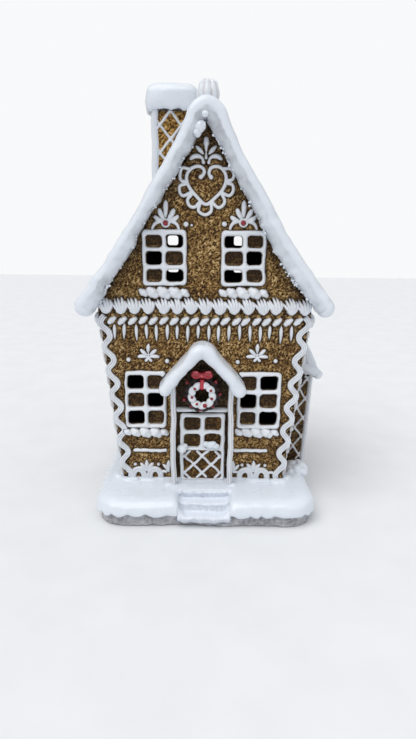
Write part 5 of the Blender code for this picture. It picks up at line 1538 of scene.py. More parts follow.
# ------------------------------------------------------------ porch
def porch_piece():
    """Snow over the porch: a thick bent roll with drooping, bulging tips."""
    apex, run, slope, depth = 101.4, 19.4, 1.16, 7.4
    bow = 2.2

    def lean(x):
        fall = slope * x / np.hypot(x, bow)
        return fall / np.hypot(fall, 1), 1 / np.hypot(fall, 1)
    xs, nx, nz, mid = fold_line(run + 0.2, lean, slope * 0.8 / math.hypot(0.8, bow), 150, 16)
    bend = 0.9 * np.clip((np.abs(xs) - 13) / 6.5, 0, 1) ** 2
    base = np.stack([xs, apex - slope * np.hypot(xs, bow) - bend], 1)
    s = np.concatenate([[0], np.cumsum(np.hypot(*np.diff(base, axis=0).T) + 0.35 * (np.abs(xs[1:]) < 0.8))])
    th = np.linspace(0, PI / 2, 15)
    ys = np.concatenate([PORCH_FRONT + 0.2 + 5.6 * (1 - np.cos(th)), np.linspace(PORCH_FRONT + 6.6, FRONT_Y - 0.1, 16)])
    roll = np.concatenate([np.sin(th) ** 0.92, np.ones(16)])
    thick = 1.2 * np.clip((np.abs(xs) - 8) / 9.0, 0, 1)
    crown = 2.2 * np.exp(-(xs / 3.6) ** 2)

    def outer_of(y, r):
        dent = 0.32 * noise(s / 9.0, y / 8.0, 0, 161) + 0.12 * noise(s / 3.6, y / 3.6, 1, 162)
        return depth - 0.5 + np.minimum(dent, 0.35) + thick * 0.3 + crown, np.clip(0.9 + 0.3 * noise(s / 4, y / 4, 2, 166), 0, 1)

    def inner_of(y, r):
        near = math.exp(-max(0.0, y - PORCH_FRONT - 3.0) / 5.0)
        drip = 0.55 * noise(s / 5.5, 1, 2, 163) + 0.25 * noise(s / 2.6, 1, 2, 164) - 0.1
        # the underside is greyer than the top: painted shade
        return drip * near - 0.3 * thick, np.clip(0.5 + 0.3 * noise(s / 2, y / 2, 2, 167), 0, 1)

    def nudge(y):
        near = max(0.0, 1 - (y - PORCH_FRONT) / 6.0)
        return near * (0.3 + 0.4 * noise(s / 7.0, 5, 2, 165))
    slab("porch_roof_snow", xs, base, nx, nz, ys, roll, inner_of, outer_of, nudge, mid, SNOW, ("porch_snow",), PORCH_X, 20, 0.5)


porch_piece()

# posts: ribbed, a little crooked, set on a blob of icing
for nm, sg in (("left", -1), ("right", 1)):
    st = Store()
    x = PORCH_X + sg * POST_X
    z = np.linspace(SNOW_TOP - 0.6, POST_TOP + 2.5, 40)
    wob = 0.22 * np.sin(z / 6.0 + sg) + 0.15 * np.sin(z / 2.7)
    rows, cols = 120, 24
    zz = np.linspace(SNOW_TOP - 0.4, POST_TOP + 2.5, rows)
    a = np.linspace(0, 2 * PI, cols, endpoint=False)
    P, cav = np.zeros((rows, cols, 3)), np.zeros((rows, cols))
    for i, h in enumerate(zz):
        rib = 1 - 0.17 * (0.5 - 0.5 * np.cos(5 * a + 0.06 * h)) ** 1.5
        k = POST_R * 0.82 * rib * (1 + 0.06 * noise(h / 2.2, np.cos(a) * 1.5, np.sin(a) * 1.5, 171 + sg))
        cxp = x + 0.28 * math.sin(h / 7.0 + sg) + 0.12 * math.sin(h / 2.9)
        P[i] = np.stack([cxp + k * np.cos(a), POST_Y + k * np.sin(a), np.full(cols, h)], 1)
        # grooves between the ribs darker: brown antique paint with painted shade
        cav[i] = np.clip((rib - 0.83) / 0.17, 0, 1)
    skin(st, P, cav=cav)
    st.piece("porch_post_piping_" + nm, ICE_DIM, ("porch_post_" + nm,))

# ------------------------------------------------------------ door
DOOR_PANES = [(DX - 11.4, 51.0, DX - 1.4, 59.4), (DX + 1.4, 51.0, DX + 11.4, 59.4),
              (DX - 11.4, 39.8, DX - 1.4, 48.4), (DX + 1.4, 39.8, DX + 11.4, 48.4)]


class DoorFrame(Sash):
    """Outer frame, four soft panes and the foot panel of crossed strands."""

    def __init__(self, seed_):
        super().__init__((), (), (DX - 14.0, FLOOR - 0.2, DX + 14.0, 61.9), (), seed_, 1.6, 2.0, 1.05, 1.7)
        self.lat = lattice_pipe(DX - 11.6, 18.3, DX + 11.4, 37.2, (DX - 5.6, 27.6, 11.4, 11.4), 0.84, seed_ + 1)

    def panes(self, grow=0.0):
        for i, b in enumerate(DOOR_PANES):
            yield (0, i), (b[0] - grow, b[1] - grow, b[2] + grow, b[3] + grow)
        yield (0, 9), (DX - 11.8 - grow, 18.2 - grow, DX + 11.8 + grow, 37.4 + grow)

    def both(self, u, v):
        d = Sash.dist(self, u, v)
        d2, r2 = self.lat.both(u, v)
        return np.maximum(d, d2), np.where(d2 > d, r2, self.R)

    def dist(self, u, v):
        return self.both(u, v)[0]

    def dome(self, u, v):
        d, r = self.both(u, v)
        t = np.clip(d / r, 0, 1)
        return np.where(r < self.R, 1.15 * r, self.high) * np.sqrt(np.maximum(1 - (1 - t) ** 2, 0)) + 0.15 * noise(u / 3.0, v / 3.0, 9, self.seed) * t

    def shine(self, u, v):
        d, r = self.both(u, v)
        return {"cav": np.clip(d / r, 0, 1)}


door_frame = DoorFrame(seed())


def door_height(u, v):
    r = wrinkle(u * 1.1, v * 1.1, 51)
    strip = np.exp(-((np.abs(u - DX) - 12.9) / 0.35) ** 2)
    return 0.35 * (r - 0.5) + 0.3 * strip


def door_paint(u, v):
    r = wrinkle(u * 1.1, v * 1.1, 51)
    inside = (v < 38.0) & (np.abs(u - DX) < 11.8)
    return {"ridge": np.clip(np.where(inside, 0.15 + 0.85 * r, 0.10 + 0.75 * r), 0, 1), "wash": np.clip(wash_and_shade_of([door_frame], u, v, 1.0), 0, 1)}


st = Store()
relief(st, lambda u, v: rect_d(u, v, DX - 13.2, FLOOR + GAP, DX + 13.2, 62.0, 0.6), door_height, (DX - 14, 16.5), (DX + 14, 63), 0.5,
       front(1.1), [(0.0, -0.7), (0.0, -1.0)], door_paint)
st.piece("door_bread", DARK, ("door",))
# jamb strips in brown between the frame and the posts
st = Store()
for x in (DX - 16.9, DX + 16.6):
    pts = [(x + 0.15 * math.sin(z / 4.0), z) for z in np.linspace(17.8, 63, 30)]
    pip = Piping(blend=0.2, aspect=0.8, wobble=0.2, seed=seed())
    pip.stroke([(px - 0.8, pz) for px, pz in pts], 0.8).stroke([(px + 0.8, pz) for px, pz in pts], 0.75)
    lo, hi = pip.box()
    relief(st, pip.dist, pip.dome, lo, hi, 0.5, front(), [(0.0, -0.1), (0.0, -0.6)],
           lambda u, v, p=pip: {"ridge": np.clip(p.dist(u, v) / 0.8, 0, 1) * (0.45 + 0.5 * np.clip(noise(u / 1.5, v / 3.0, 1, 5), 0, 1))})
st.piece("door_jambs", DARK)
st = Store()
pipe(st, door_frame, 0.42, front(1.3))
st.piece("door_frame_icing", ICE, ("door_icing",))
st = Store()
pipe(st, P_HEADER, 0.4, front(0.6))
st.piece("door_header_icing", ICE, ("door_header",))
st = Store()
blob(st, (-13.4, 39.4, 5.0), (2.9, 2.9, 2.7), 7, 0.12, 22, front(), {"cav": 0.8})
blob(st, (-11.6, 41.2, 4.0), (1.7, 1.5, 1.6), 9, 0.12, 14, front(), {"cav": 0.8})
st.piece("door_knob_icing", ICE, ("door_knob",))
st = Store()
for (x, z, r) in ((1.4, 42.3, 1.9), (4.4, 41.7, 2.6), (7.4, 40.9, 2.0), (5.8, 42.6, 1.8)):
    blob(st, (x, z, 3.6), (r * 1.25, r * 0.9, 1.7), int(x * 10), 0.10, 18, front(), {"cav": 0.85})
st.piece("door_snow_lump", SNOW, ("door_snow",))

# ------------------------------------------------------------ wreath
WX, WZ = -1.2, 75.7


def ring_piece(store, major, minor, w, lobes, swell, rows=220, cols=34, phase=0.0, twist=0.0, flat=0.85):
    a = np.linspace(0, 2 * PI, rows, endpoint=False)
    b = np.linspace(0, 2 * PI, cols, endpoint=False)
    A, B = np.meshgrid(a, b, indexing="ij")
    lobe = np.abs(np.cos(0.5 * (lobes * (A + twist * np.cos(B)) + phase)))
    k = 1 - swell * (1 - lobe ** 0.7)
    k = k * (1 + 0.04 * noise(np.cos(A) * 4, np.sin(A) * 4, B * 0, 180))
    rr = major + minor * k * np.cos(B)
    P = np.stack([WX + rr * np.cos(A), WZ + rr * np.sin(A), w + flat * minor * k * np.sin(B)], -1)
    idx = np.arange(rows * cols).reshape(rows, cols)
    q = np.stack([idx, np.roll(idx, -1, 0), np.roll(np.roll(idx, -1, 0), -1, 1), np.roll(idx, -1, 1)], -1).reshape(-1, 4)
    # darker between the lobes, lighter on their crowns: painted shade, with brown antique paint on the white ring
    store.add(P.reshape(-1, 3), q, None, front(), cav=np.clip(lobe, 0, 1).ravel(), ridge=np.clip(lobe * 0.9, 0, 1).ravel())


st = Store()
ring_piece(st, 9.0, 2.7, 5.0, 15, 0.30, rows=170, cols=24, phase=0.5, twist=0.12)
st.piece("wreath_brown_ring", CHOC, ("wreath_dark",))
st = Store()
ring_piece(st, 6.35, 2.35, 8.9, 9, 0.36, rows=170, cols=26, phase=0.3, twist=0.10)
st.piece("wreath_white_ring", ICE, ("wreath_white",))
st = Store()
for px, py, r in ((195, 388, 0.95), (211, 389.5, 0.95), (192, 397, 0.9), (212, 398, 1.0), (197, 404, 0.95), (205, 405.5, 1.35)):
    x, z = WX + (px - 202) * 0.595, WZ - (py - 395.5) * 0.595
    blob(st, (x, z, 10.5), (r, r, r * 0.8), int(px), 0.05, 12, front(), {"ridge": 0.35})
for px, py, r in ((187, 383, 1.15), (216, 382, 1.15), (184, 401, 1.2), (191, 408, 1.05), (200.5, 411.5, 1.25), (213, 408, 1.1), (220.5, 395, 1.05)):
    x, z = WX + (px - 202) * 0.595, WZ - (py - 395.5) * 0.595
    blob(st, (x, z, 7.0), (r, r, r), int(px), 0.05, 12, front(), {"ridge": 0.2})
st.piece("wreath_berries", RED)

# bow: two loops and a knot, and a ribbon over the ring
st = Store()
bow = Piping(blend=0.35, aspect=1.0, wobble=0.1, seed=seed())
BZ = 88.0
for s in (-1, 1):
    bow.stroke(smooth_path([(WX + s * 0.9, BZ + 0.1), (WX + s * 3.0, BZ + 1.5), (WX + s * 5.2, BZ + 1.3), (WX + s * 5.5, BZ - 0.6), (WX + s * 3.4, BZ - 1.4),
                            (WX + s * 1.0, BZ - 0.5)], 4), 1.05)
    bow.stroke([(WX + s * 2.2, BZ), (WX + s * 4.4, BZ)], 1.0, 0.8)
bow.dot(WX, BZ, 1.8, 1.15)
lo, hi = bow.box()
# lighter towards the crown of each stroke and much lighter towards the top of the loops: painted highlight
relief(st, bow.dist, lambda u, v: 0.6 + bow.dome(u, v), lo, hi, 0.3, front(7.4), [(0.0, 0.0), (0.1, -1.6)],
       lambda u, v: {"ridge": np.clip(0.25 + 0.6 * np.clip(bow.dist(u, v) / 1.2, 0, 1) + 0.8 * np.clip((v - BZ - 1.2) / 1.4, 0, 1), 0, 1)})
rib = [(0.2, 85.6, 8.6), (0.0, 84.0, 9.9), (-0.1, 82.2, 10.8), (0.0, 80.4, 10.4), (0.1, 79.4, 9.2)]
rows = []
p = resample([(WX + x, z, w) for x, z, w in rib], 26)
for k, (x, z, w) in enumerate(p):
    half = 1.25 + 0.12 * math.sin(k / 3.0)
    ring = [(x + half * math.cos(a), z, w + 0.55 * math.sin(a) * (1 - 0.3 * math.cos(2 * a))) for a in np.linspace(0, 2 * PI, 20, endpoint=False)]
    rows.append(ring)
skin(st, np.array(rows), place=front(), flip=True, ridge=0.75)
st.piece("wreath_ribbon_bow", RED, ("wreath_bow",))


# ------------------------------------------------------------ base
def plan_d(u, v, wave=0.9):
    """Inside distance from the outline of the base in plan."""
    cx, cy = (BASE_LEFT + BASE_RIGHT) / 2, (BASE_FRONT + BASE_BACK) / 2
    hx, hy = (BASE_RIGHT - BASE_LEFT) / 2 - wave, (BASE_BACK - BASE_FRONT) / 2 - wave
    x, y = u - cx, v - cy
    d = rect_d(x, y, -hx, -hy, hx, hy, BASE_CORNER)
    a = np.arctan2(y, x)
    return d + 0.75 * wave * (0.5 * np.sin(5 * a + 0.7) + 0.5 * np.sin(9 * a + 2.1)) - 0.15


NOTCH = (STEP_X - STEP_HALF, -90.0, STEP_X + STEP_HALF, TREADS[0][0] + 0.4)


def notch_d(u, v):
    """Distance outside the notch for the steps."""
    return -rect_d(u, v, NOTCH[0] - 0.1, NOTCH[1], NOTCH[2] + 0.1, NOTCH[3], 1.2)


EDGE = 1.6


def snow_plan(u, v):
    return np.minimum(plan_d(u, v) - EDGE, notch_d(u, v) + 0.35)


def snow_height(u, v):
    d, dn = plan_d(u, v), notch_d(u, v)
    x = np.array((0.0, 0.8, 1.6, 2.6, 4.0, 6.0, 9.0, 13.0, 80.0))
    y = np.array((10.4, 12.6, 13.9, 14.9, 15.8, 16.5, 16.95, 17.05, 17.1))
    h = np.interp(d + 0.7 * noise(u / 14, v / 14, 3, 203), x, y)
    h = h + 0.34 * noise(u / 19.0, v / 19.0, 0, 201) + 0.16 * noise(u / 7.0, v / 7.0, 1, 202) + 0.05 * noise(u / 9.0, v / 1.1, 1, 204)
    # drifts against the walls
    side_foot = np.where((u > 0) & (v > ANNEX_Y0) & (v < ANNEX_Y1), np.abs(u) - ANNEX_FOOT, np.abs(u) - WALL_FOOT)
    foot = np.maximum(side_foot, np.maximum(FRONT_Y - v, v - BACK_Y))
    h = h + 0.9 * np.exp(-np.clip(foot, 0, 60) / 2.4) * (foot > -3)
    # rounded banks beside the steps
    bank = np.clip(1 - (dn + 0.4) / 3.4, 0, 1)
    h = h - 2.2 * bank ** 2 * np.clip((-48.0 - v) / 4.0, 0, 1)
    return h


def drip(t, k):
    """Hanging scallops along a rim, of uneven width and depth."""
    w = t / 11.5 + 0.45 * noise(t / 19.0, k, 1, 205)
    return 1.9 * np.abs(np.sin(PI * w)) ** 0.8 + 0.9 * noise(t / 15.0, k, 3, 208) + 0.25 * noise(t / 3.0, k, 3, 209)


def skirt_low(u, v):
    """Lower edge of the snow: it hangs lower at each scallop."""
    k = 0.5 * (1 + np.tanh(u / 4.0))
    t = np.abs(u) + v
    return 8.4 - (k * drip(t + 40.0, 4.0) + (1 - k) * drip(t, 9.0))


def skirt_ring(t, tuck=0.0, low=None):
    """A ring of the skirt, t from 0 at the edge of the top to 1 at the foot."""
    def ring(u, v):
        inn = notch_d(u, v) + 0.35 < plan_d(u, v) - EDGE
        lump = 0.25 * noise(u / 5.0, v / 5.0, 4, 206)
        out = 1.45 * math.sin(PI / 2 * min(t, 1.0)) ** 0.85 - tuck + lump * min(1.0, t * 2)
        foot = skirt_low(u, v) + 1.1
        w = snow_height(u, v) * (1 - t ** 1.25) + foot * t ** 1.25 if low is None else skirt_low(u, v) + low
        return np.where(inn, np.minimum(0.0, 0.3 - tuck), out), w
    return ring


def base_snow_piece():
    st = Store()
    rings = [skirt_ring(t) for t in (0.12, 0.25, 0.4, 0.55, 0.7, 0.85, 1.0)]
    rings += [skirt_ring(1.0, 0.12, 0.6), skirt_ring(1.0, 0.4, 0.2), skirt_ring(1.0, 0.85, 0.0), skirt_ring(1.0, 1.5, 0.1), skirt_ring(1.0, 2.2, 0.7),
              lambda u, v: (-1.0, np.full(np.shape(u), ROCK_TOP + 0.2))]
    relief(st, snow_plan, snow_height, (-70, -70), (73, 70), 1.08, plan(), rings,
           lambda u, v: {"cav": np.clip(0.55 + plan_d(u, v) / 8.0 + 0.3 * noise(u / 5.0, v / 5.0, 1, 207), 0.25, 1)}, carry=True)
    st.piece("base_snow_blanket", SNOW_BASE, ("base_snow",))


base_snow_piece()


def base_ring(count, inset):
    """Outline of the base by marching round its middle."""
    cx, cy = (BASE_LEFT + BASE_RIGHT) / 2, (BASE_FRONT + BASE_BACK) / 2
    a = np.linspace(0, 2 * PI, count, endpoint=False)
    lo, hi = np.full(count, 30.0), np.full(count, 120.0)
    for _ in range(40):
        m = (lo + hi) / 2
        inside = plan_d(cx + m * np.cos(a), cy + m * np.sin(a)) > inset
        lo, hi = np.where(inside, m, lo), np.where(inside, hi, m)
    return cx + lo * np.cos(a), cy + lo * np.sin(a), a


def rock_piece():
    st = Store()
    cols = 560
    x, y, a = base_ring(cols, 3.3)
    s = np.concatenate([[0], np.cumsum(np.hypot(np.diff(x), np.diff(y)))])
    tx, ty = np.roll(x, -1) - np.roll(x, 1), np.roll(y, -1) - np.roll(y, 1)
    ln = np.hypot(tx, ty)
    nx, ny = ty / ln, -tx / ln
    rows, rid = [], []
    spec = [(0.0, -1.2), (0.15, -0.3), (0.55, 0.15)] + [(z, 0.35) for z in np.arange(1.2, ROCK_TOP - 0.4, 0.62)] + [(ROCK_TOP - 0.3, 0.1), (ROCK_TOP, -0.5)]
    for z, out in spec:
        big = 0.55 * noise(x / 6.0, y / 6.0, z / 5.0, 211) + 0.35 * noise(x / 2.4, y / 2.4, z / 2.2, 212)
        fine = 0.42 * noise(x / 0.95, y / 0.95, z / 0.95, 213) + 0.25 * noise(x / 0.6, y / 0.6, z / 0.6, 214)
        d = out + (big + fine) * (0.35 if z in (0.0, ROCK_TOP) else 1.0)
        zz = np.full(cols, z) + (0.18 * noise(x / 1.2, y / 1.2, z, 215) if 0.3 < z < 8.5 else 0)
        notch = (np.abs(x - STEP_X) < STEP_HALF + 0.1) & (y < TREADS[0][0] + 0.3)
        zz = np.where(notch, np.minimum(zz, STEP_FLOOR - 0.35), zz)
        d = np.where(notch & (z > STEP_FLOOR - 0.4), -0.4, d)
        rows.append(np.stack([x + nx * d, y + ny * d, np.maximum(zz, 0.0)], 1))
        rid.append(np.clip(0.5 + 0.45 * (big + 1.6 * fine), 0, 1))
    skin(st, np.array(rows), flip=False, ridge=np.array(rid))
    st.piece("base_rock_rim", ROCK, ("base_rock",))


rock_piece()


def steps_piece():
    """Three worn treads: the profile runs down and forward, drawn across in X."""
    prof = [(-45.6, STEP_FLOOR + 0.4), (-46.0, 12.0), (-46.8, SNOW_TOP - 0.5), (-48.4, SNOW_TOP + 0.15), (-50.0, SNOW_TOP - 0.35), (-51.2, SNOW_TOP - 1.6)]
    for (y0, z), y1 in zip(TREADS, (TREADS[1][0], STEP_FRONT + 0.2)):
        prof += [(y0 - 0.4, z + 0.5), (y0 - 1.4, z + 0.02), ((y0 + y1) / 2, z + 0.1), (y1 + 1.5, z + 0.05), (y1 + 0.6, z - 0.35), (y1 + 0.15, z - 1.1), (y1 + 0.3, z - 2.0)]
    prof += [(STEP_FRONT + 1.0, STEP_FLOOR + 1.0), (STEP_FRONT + 1.7, STEP_FLOOR + 0.1), (STEP_FRONT + 4.5, STEP_FLOOR)]
    top = smooth_path(prof, 5)
    top = resample(top, 76)
    low = np.stack([np.linspace(top[-1, 0] + 0.3, top[0, 0] - 0.3, len(top)), np.full(len(top), STEP_FLOOR - 0.1)], 1)
    ring2 = np.vstack([top, low])
    xs = STEP_X + np.linspace(-STEP_HALF - 2.6, STEP_HALF + 2.6, 64)
    rows, cav = [], []
    s = np.concatenate([[0], np.cumsum(np.hypot(*np.diff(ring2, axis=0).T))])
    for x in xs:
        edge = min(x - xs[0], xs[-1] - x)
        soft = -5.2 * max(0.0, 1 - edge / 6.4) ** 2
        wave = 0.30 * noise(x / 6.0, s / 5.0, 0, 221) + 0.14 * noise(x / 1.6, s / 1.6, 1, 222) + 0.06 * noise(x / 4.0, s / 0.7, 1, 223)
        on = np.concatenate([np.ones(len(top)), np.zeros(len(low))])
        y = ring2[:, 0] + 0.35 * wave * on
        z = ring2[:, 1] + (wave - soft * np.clip((ring2[:, 0] + 66.0) / 3.0, 0.0, 1.0)) * on
        z = np.maximum(z, STEP_FLOOR - 0.1)
        y = np.maximum(y, STEP_FRONT + 0.02)
        front_k = np.clip((-56.0 - ring2[:, 0]) / 7.0, 0.0, 1.0)
        px = STEP_X + (x - STEP_X) * (1 - 0.150 * front_k * front_k * (3 - 2 * front_k))
        buried = (np.abs(px - STEP_X) > STEP_HALF - 1.2) & (ring2[:, 0] > -63.5) | (ring2[:, 0] > -49.2)
        z = np.where(buried, np.minimum(z, snow_height(np.asarray(px), y) - 0.3), z)
        low_front = (ring2[:, 0] < STEP_FRONT + 2.4) & (ring2[:, 1] < 6.2)
        z = np.where(low_front, z - 0.5 + 1.1 * np.abs(np.sin((x + 2.0) / 3.4)) * np.clip((ring2[:, 1] - STEP_FLOOR) / 1.0 + 0.4, 0, 1), z)
        z = np.maximum(z, STEP_FLOOR - 0.9)
        rows.append(np.stack([px, y, z], 1))
        g = np.gradient(ring2[:, 1], s)
        flat = np.clip(1 - np.abs(g) * 1.2, 0, 1)
        # risers darker than treads: painted shade on the steep faces, with random tone
        cav.append(np.clip(0.12 + 0.75 * flat + 0.25 * noise(x / 1.3, s / 1.3, 2, 224), 0, 1))
    st = Store()
    zip_skin(st, np.array(rows), flip=False, cav=np.array(cav))
    st.piece("front_steps", SNOW_STEP, ("steps",))


# worn grey snow paint; its crease colour is painted shade on the risers
SNOW_STEP = white("snow_worn_paint_riser_shade", srgb(229, 236, 246), srgb(166, 171, 182), 0.36, crease_tint_and_shade=0.6, hi=0.5, streak=0.10, grain=0.2)
steps_piece()


# ------------------------------------------------------------ lean-to
def annex_out(z):
    return ANNEX_FOOT + (ANNEX_HEAD - ANNEX_FOOT) * (z - FLOOR) / (ANNEX_TOP - FLOOR)


def annex_ring(z):
    lo = wall_half(z) - 1.0
    n_y, n_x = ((64, 18))
    out = annex_out(z)
    r = 0.8
    y0, y1 = ANNEX_Y0, ANNEX_Y1
    pts = [(lo, y0), (out - r, y0), (out, y0 + r), (out, y1 - r), (out - r, y1), (lo, y1)]
    segs = [np.linspace(pts[0], pts[1], n_x, endpoint=False), np.linspace(pts[1], pts[2], 2, endpoint=False),
            np.linspace(pts[2], pts[3], n_y, endpoint=False), np.linspace(pts[3], pts[4], 2, endpoint=False),
            np.linspace(pts[4], pts[5], n_x, endpoint=False), np.linspace(pts[5], pts[0], 8, endpoint=False)]
    p = np.vstack(segs)
    nrm = np.vstack([np.tile((0, -1), (n_x, 1)), np.tile((0.7, -0.7), (2, 1)), np.tile((1, 0), (n_y, 1)), np.tile((0.7, 0.7), (2, 1)),
                     np.tile((0, 1), (n_x, 1)), np.tile((-0.01, 0), (8, 1))])
    s = np.concatenate([[0], np.cumsum(np.linalg.norm(np.diff(p, axis=0), axis=1))])
    return p[:, 0], p[:, 1], nrm[:, 0], nrm[:, 1], s


st = Store()
# darkened a little all over, more on the front face, under its roof and beside the main wall: painted shade
bread_prism(st, annex_ring, np.arange(FLOOR, ANNEX_TOP + 3.2, 0.8), 45, 0.5,
            lambda P: np.clip(0.25 + 0.45 * (P[..., 1] < ANNEX_Y0 + 0.6) + np.clip((P[..., 2] - 74) / 6, 0, 0.5) + 0.4 * np.clip(1 - (P[..., 0] - wall_half(P[..., 2])) / 3, 0, 1), 0, 1))
st.piece("lean_to_bread", BREAD, ("annex_body",))

st = Store()
lean = math.atan((ANNEX_HEAD - ANNEX_FOOT) / (ANNEX_TOP - FLOOR))
for place, mirror in ((y_plane(ANNEX_Y0 + 0.2), 1), (y_plane_back(ANNEX_Y1 - 0.2), -1)):
    pip = lattice_pipe(55.6, 20.5, 67.4, 80.0, (60.4, 30.0, 9.6, 13.6), 0.78, seed(), slant=0.055)
    if mirror < 0:
        pip.strokes = [(p * np.array((-1.0, 1.0)), r, a) for p, r, a in pip.strokes]
    z = np.linspace(18, 80, 40)
    pip.stroke(np.stack([mirror * (wall_half(z) + 0.9), z], 1), 0.8)
    pipe(st, pip, 0.6, place)
for y in (ANNEX_Y0 + 0.2, ANNEX_Y1 - 0.2):
    z = np.linspace(18.5, 80, 30)
    rope(st, np.stack([annex_out(z) - 0.1, np.full(30, y), z], 1), 2.15, 16.0, 0.5, 24, 3.0, 3, seed=5, cav=0.75)
st.piece("lean_to_piping", ICE_DIM, ("annex_lattice",))

# its window
lean_side = np.array(((0, math.sin(lean), math.cos(lean), ANNEX_FOOT), (1, 0, 0, (ANNEX_Y0 + ANNEX_Y1) / 2),
                      (0, math.cos(lean), -math.sin(lean), FLOOR), (0, 0, 0, 1)), float)
annex_sash = Sash(((-10.4, -1.4), (1.4, 10.4)), ((43.0, 51.0), (32.0, 40.4), (21.0, 29.4)), (-12.6, 18.8, 12.6, 53.2), (), seed())
st = Store()
pipe(st, annex_sash, 0.5, lean_side)
st.piece("window_annex_icing", ICE, ("window_annex",))
st = Store()
pip = sill(-14.0, 14.0, 15.6, (2.2, 3.0, 3.4, 3.3, 2.3), seed())
pipe(st, pip, 0.5, lean_side)
st.piece("sill_annex_icing", ICE)
st = Store()
for _, (x0, z0, x1, z1) in annex_sash.panes(0.4):
    def pane_h(u, v):
        return 0.45 + 0.4 * wrinkle(u, v, 46) * 0.6
    # panes darkened: darker pane paint with painted shade in the recess
    relief(st, lambda u, v, b=(x0, z0, x1, z1): rect_d(u, v, *b, 1.4), pane_h, (x0 - 0.5, z0 - 0.5), (x1 + 0.5, z1 + 0.5), 0.6, lean_side,
           [(0.0, -0.3)], lambda u, v: {"ridge": 0.55 * wrinkle(u, v, 46), "wash": np.full(np.shape(u), 0.72)})
st.piece("lean_to_panes", BREAD)


def annex_section():
    top, low = (60.8, 103.0), (70.6, 82.6)
    dx, dz = low[0] - top[0], low[1] - top[1]
    n = math.hypot(dx, dz)
    ux, uz = dx / n, dz / n
    nx, nz = -uz, ux
    pts = [(wall_half(96.0) + 0.2, 94.0), (wall_half(104.0) + 0.2, 103.5), (top[0] + 1.6, top[1] + 5.0), (top[0] + 4.2, top[1] + 3.4)]
    for t in (0.35, 0.75):
        pts.append((top[0] + dx * t + nx * 5.3, top[1] + dz * t + nz * 5.3))
    mx, mz = low[0] + nx * 1.9, low[1] + nz * 1.2
    for k in range(7):
        a = math.atan2(nz, nx) - PI * k / 6
        pts.append((mx + 3.6 * math.cos(a), mz + 3.6 * math.sin(a)))
    pts += [(69.0, 81.4), (wall_half(84.0) + 0.2, 82.0), (wall_half(90.0) + 0.2, 88.0)]
    return pts


def annex_snow_piece():
    sec = annex_section()
    p = resample(smooth_path(sec + [sec[0]], 5), 121)[:-1]
    t = np.roll(p, -1, 0) - np.roll(p, 1, 0)
    t /= np.linalg.norm(t, axis=1, keepdims=True)
    nrm = np.stack([-t[:, 1], t[:, 0]], 1)
    s = np.concatenate([[0], np.cumsum(np.linalg.norm(np.diff(p, axis=0), axis=1))])
    th = np.linspace(0, PI / 2, 10)
    y0, y1 = ANNEX_Y0 - 3.2, ANNEX_Y1 + 3.2
    ys = list(y0 + 2.6 * (1 - np.cos(th))) + list(np.linspace(y0 + 3.4, y1 - 3.4, 44)) + list((y1 - 2.6 * (1 - np.cos(th)))[::-1])
    rl = list(np.sin(th) ** 0.8) + [1.0] * 44 + list((np.sin(th) ** 0.8)[::-1])
    rows, cavs = [], []
    outside = (nrm[:, 0] > 0.1)
    for y, r in zip(ys, rl):
        lump = 0.55 * noise(s / 6.0, y / 7.0, 1, 241) + 0.3 * noise(s / 2.6, y / 3.0, 2, 242) - 0.25
        d = np.where(outside, lump, 0.1 * lump) - 2.3 * (1 - r)
        q = p + nrm * d[:, None]
        under = (nrm[:, 1] < -0.3) & (q[:, 0] > 66)
        q[:, 1] += np.where(under, -0.7 * np.clip(noise(y / 4.0, 1.0, 2, 243) + 0.4, 0, 1), 0)
        rows.append(np.stack([q[:, 0], np.full(len(q), y) + 0.3 * lump, q[:, 1]], 1))
        # downward faces greyer: painted shade under the roof's edge
        cavs.append(np.clip(0.7 + 0.3 * lump, 0, 1) * np.where(nrm[:, 1] < -0.3, 0.4, 1.0))
    st = Store()
    zip_skin(st, np.array(rows), flip=False, cav=np.array(cavs))
    y = ANNEX_Y0 - 2.7
    rope(st, smooth_path([(60.5, y + 0.8, 88.4), (65.5, y, 86.4), (70.5, y - 0.2, 84.0), (74.6, y, 81.6)], 5), 2.9, 0.2, 0.04, 22, 1.6, 3, seed=4, cav=0.8)
    blob(st, (74.6, y + 0.4, 81.4), (3.2, 3.0, 3.1), 9, 0.12, 16, None, {"cav": 0.85})
    st.piece("lean_to_roof_snow", SNOW, ("annex_snow",))


annex_snow_piece()

st = Store()
for k, (x, y, r, h) in enumerate(((58.6, -18.5, 4.4, 4.2), (62.6, -20.0, 4.6, 4.8), (66.0, -16.8, 4.2, 5.2), (60.2, -13.8, 4.6, 4.6),
                                  (64.2, -12.8, 4.2, 5.6), (66.4, -21.4, 3.0, 3.0), (57.4, -22.4, 2.8, 2.4))):
    blob(st, (x, y, SNOW_TOP - 0.2), (r, r * 0.92, h), k, 0.16, 18, None, {"cav": 0.8})
st.piece("snow_heap", SNOW, ("snow_mound",))
# loose snow at the foot of the front wall and round the posts
st = Store()
for k, (x, y, rx, ry, h) in enumerate(((-21.5, -42.0, 3.4, 3.2, 1.5), (18.8, -42.0, 3.2, 3.0, 1.4), (-46.5, -37.0, 6.0, 3.4, 1.8), (-34.0, -36.2, 7.0, 2.6, 1.3),
                                       (36.0, -36.2, 8.0, 2.8, 1.5), (48.0, -37.2, 5.5, 3.6, 2.0), (-54.5, -28.0, 4.0, 7.0, 1.8), (53.8, -30.0, 3.6, 4.2, 1.7))):
    blob(st, (x, y, SNOW_TOP - 0.1), (rx, ry, h), k + 20, 0.14, 15, None, {"cav": 0.85})
st.piece("snow_drifts", SNOW_BASE)

